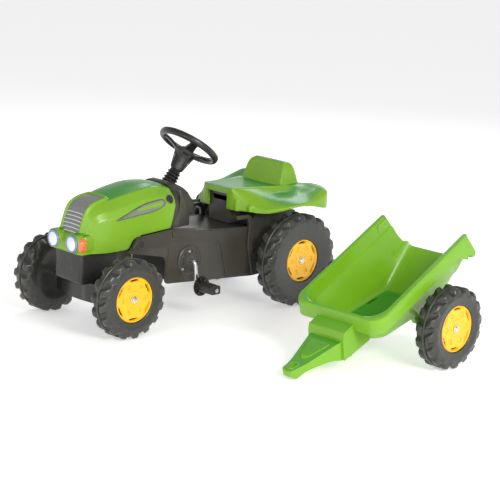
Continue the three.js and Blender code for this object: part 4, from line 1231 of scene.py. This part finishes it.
tub = bpy.data.objects.new("tub", tub_mesh)
bpy.context.scene.collection.objects.link(tub)
dress("tub_moulding", released(walled(tub, 3.6)), trailer_green, body_of("trailer_tub"), "green_plastic",
      ["trailer_tub"], angle=35)


def tub_piece(name, part, bevel=1.5, material=None, **options):
    return build(name, [tuple(p) for p in in_trailer(part[0])], part[1],
                 material or trailer_green, body_of("trailer_tub"), "green_plastic",
                 bevel=bevel, segments=3, angle=35, **options)


for side in (1, -1):
    tail = prism([(-112, 140, 4), (-112, 178, 2), (-151, 188, 4), (-181, 131, 5), (-174, 121, 4),
                  (-160, 122, 3), (-157, 132, 3), (-148, 131, 3), (-146, 122, 3)], 128, 147.6)
    lug = prism([(-16, -12, 10), (16, -12, 10), (20, 14), (-20, 14)], 71, 85)
    lug_object = solid_object("lug", lug)
    lug = taken(boolean(lug_object, [revolve([(0, 60), (6.5, 60), (6.5, 95), (0, 95)], 24)]))
    for label, part, soft in (("tail", tail, 2.0), ("axle_lug", lug, 1.0)):
        tub_piece(f"tub_{label}_{hand(side)}", part if side > 0 else flipped(part), soft)
tub_piece("tub_front_box", prism([(165, 12, 12), (274, -2, 3), (268, 56, 3), (262, 72, 3),
                                  (205, 84), (190, 40)], -61, 61), 1.8)
bar_plan = [(240, 60, 6), (392, 22, 20), (424, 18, 18), (424, -18, 18), (392, -22, 20),
            (240, -60, 6)]
bar_side = [(240, -2), (276, -2), (310, 8, 10), (372, 10, 10), (396, 4), (412, 0.9, 10),
            (425, 14, 12), (422, 28, 5), (380, 28, 20), (276, 48, 12), (240, 48)]
drawbar = boolean(solid_object("drawbar", prism(bar_side, -80, 80, "y", 6)),
                  [prism(bar_plan, -20, 60, "z", 8)], "INTERSECT")
boolean(drawbar, [prism([(384, 7, 6), (411, 7, 6), (411, -7, 6), (384, -7, 6)], -10, 50, "z", 6),
                  prism([(372, 19, 8), (415, 14, 10), (415, -14, 10), (372, -19, 8)], -10, 22, "z", 6)])
tub_piece("drawbar", taken(drawbar), 2.2)
pad_top = [(288, 34, 8), (352, 13, 8), (364, 0, 4), (352, -13, 8), (288, -34, 8)]
pad_object = prism(pad_top, 24, 52, "z", 6)
pad_side = [(286, 20), (286, 49.5, 3), (352, 36.5, 3), (366, 30, 2), (366, 20)]
pad_mesh = boolean(solid_object("pad", pad_object), [prism(pad_side, -50, 50)], "INTERSECT")
tub_piece("drawbar_pad", taken(pad_mesh), 1.6)
lip = rod([(x, y, 28.6) for x, y in rounded(
    [(382, 11, 9), (414, 11, 9), (414, -11, 9), (382, -11, 9)], 8)], 2.4, 10, closed=True)
tub_piece("drawbar_eye_lip", lip, 0)

# ------------------------------------------------------------------ plain CAD parts that stay
STAY = {
    "kingpin": steel, "steering_shaft": steel, "front_axle": steel, "rear_axle": steel,
    "trailer_axle": steel, "chainring": steel, "rear_sprocket": steel, "drive_chain": steel,
    "hitch_bracket": dark, "hitch_pin": chrome,
}
for node, material in STAY.items():
    data = frame["nodes"][node].data
    data.materials.clear()
    data.materials.append(material)

# ------------------------------------------------------------------ stage
def area_light(name, position, target, size, power, tint=(1, 1, 1)):
    data = bpy.data.lights.new(name, "AREA")
    data.shape = "RECTANGLE"
    data.size, data.size_y = size
    data.energy = power
    data.color = tint
    light = bpy.data.objects.new(name, data)
    light.location = position
    light.rotation_euler = (Vector(target) - Vector(position)).to_track_quat("-Z", "Y").to_euler()
    bpy.context.scene.collection.objects.link(light)


floor_mesh = bpy.data.meshes.new("floor")
floor_mesh.from_pydata([(-14, -14, 0), (14, -14, 0), (14, 14, 0), (-14, 14, 0)], [], [(0, 1, 2, 3)])
floor_nodes = Nodes("studio_floor")
floor_nodes.shader.inputs["Base Color"].default_value = (0.93, 0.93, 0.93, 1)
floor_nodes.shader.inputs["Roughness"].default_value = 0.9
floor_nodes.shader.inputs["Emission Color"].default_value = (1, 1, 1, 1)
floor_nodes.shader.inputs["Emission Strength"].default_value = 0.42
floor_mesh.materials.append(floor_nodes.material)
floor = bpy.data.objects.new("floor", floor_mesh)
bpy.context.scene.collection.objects.link(floor)

world = bpy.data.worlds.new("studio")
world.use_nodes = True
sky = world.node_tree
place = sky.nodes.new("ShaderNodeTexCoord")
level = sky.nodes.new("ShaderNodeSeparateXYZ")
fade = sky.nodes.new("ShaderNodeMapRange")
fade.interpolation_type = "SMOOTHSTEP"
fade.inputs["From Min"].default_value = 0.16
fade.inputs["From Max"].default_value = 0.45
fade.inputs["To Min"].default_value = 1.0
fade.inputs["To Max"].default_value = 0.42
sky.links.new(place.outputs["Generated"], level.inputs[0])
sky.links.new(level.outputs["Z"], fade.inputs["Value"])
sky.links.new(fade.outputs["Result"], sky.nodes["Background"].inputs["Strength"])
sky.nodes["Background"].inputs["Color"].default_value = (1, 1, 1, 1)
bpy.context.scene.world = world
bpy.context.scene.view_settings.view_transform = "Standard"

area_light("key", (0.7, 3.3, 1.9), (0, 0.1, 0.2), (1.3, 1.0), 86, (1.0, 0.98, 0.93))
area_light("front", (3.4, 1.0, 1.3), (0, 0, 0.2), (1.2, 1.2), 16, (1.0, 0.99, 0.96))
area_light("back", (-2.4, -1.6, 2.4), (0, 0.1, 0.2), (2.0, 1.2), 34, (0.96, 0.98, 1.0))

EYE = np.array([3059.6, 3465.1, 1260.9])
AHEAD = Vector((-0.6776, -0.6989, -0.2287)).normalized()
UPWARD = Vector((-0.1257, -0.1963, 0.9725))
UPWARD = (UPWARD - AHEAD * UPWARD.dot(AHEAD)).normalized()
camera_data = bpy.data.cameras.new("camera")
camera_data.sensor_width = 36
camera_data.lens = 119.43
camera_data.clip_end = 60
camera = bpy.data.objects.new("camera", camera_data)
rightward = AHEAD.cross(UPWARD)
camera.matrix_world = Matrix((
    (rightward.x, UPWARD.x, -AHEAD.x, (EYE[0] + ORIGIN[0]) * MM),
    (rightward.y, UPWARD.y, -AHEAD.y, (EYE[1] + ORIGIN[1]) * MM),
    (rightward.z, UPWARD.z, -AHEAD.z, EYE[2] * MM),
    (0, 0, 0, 1)))
bpy.context.scene.collection.objects.link(camera)
bpy.context.scene.camera = camera
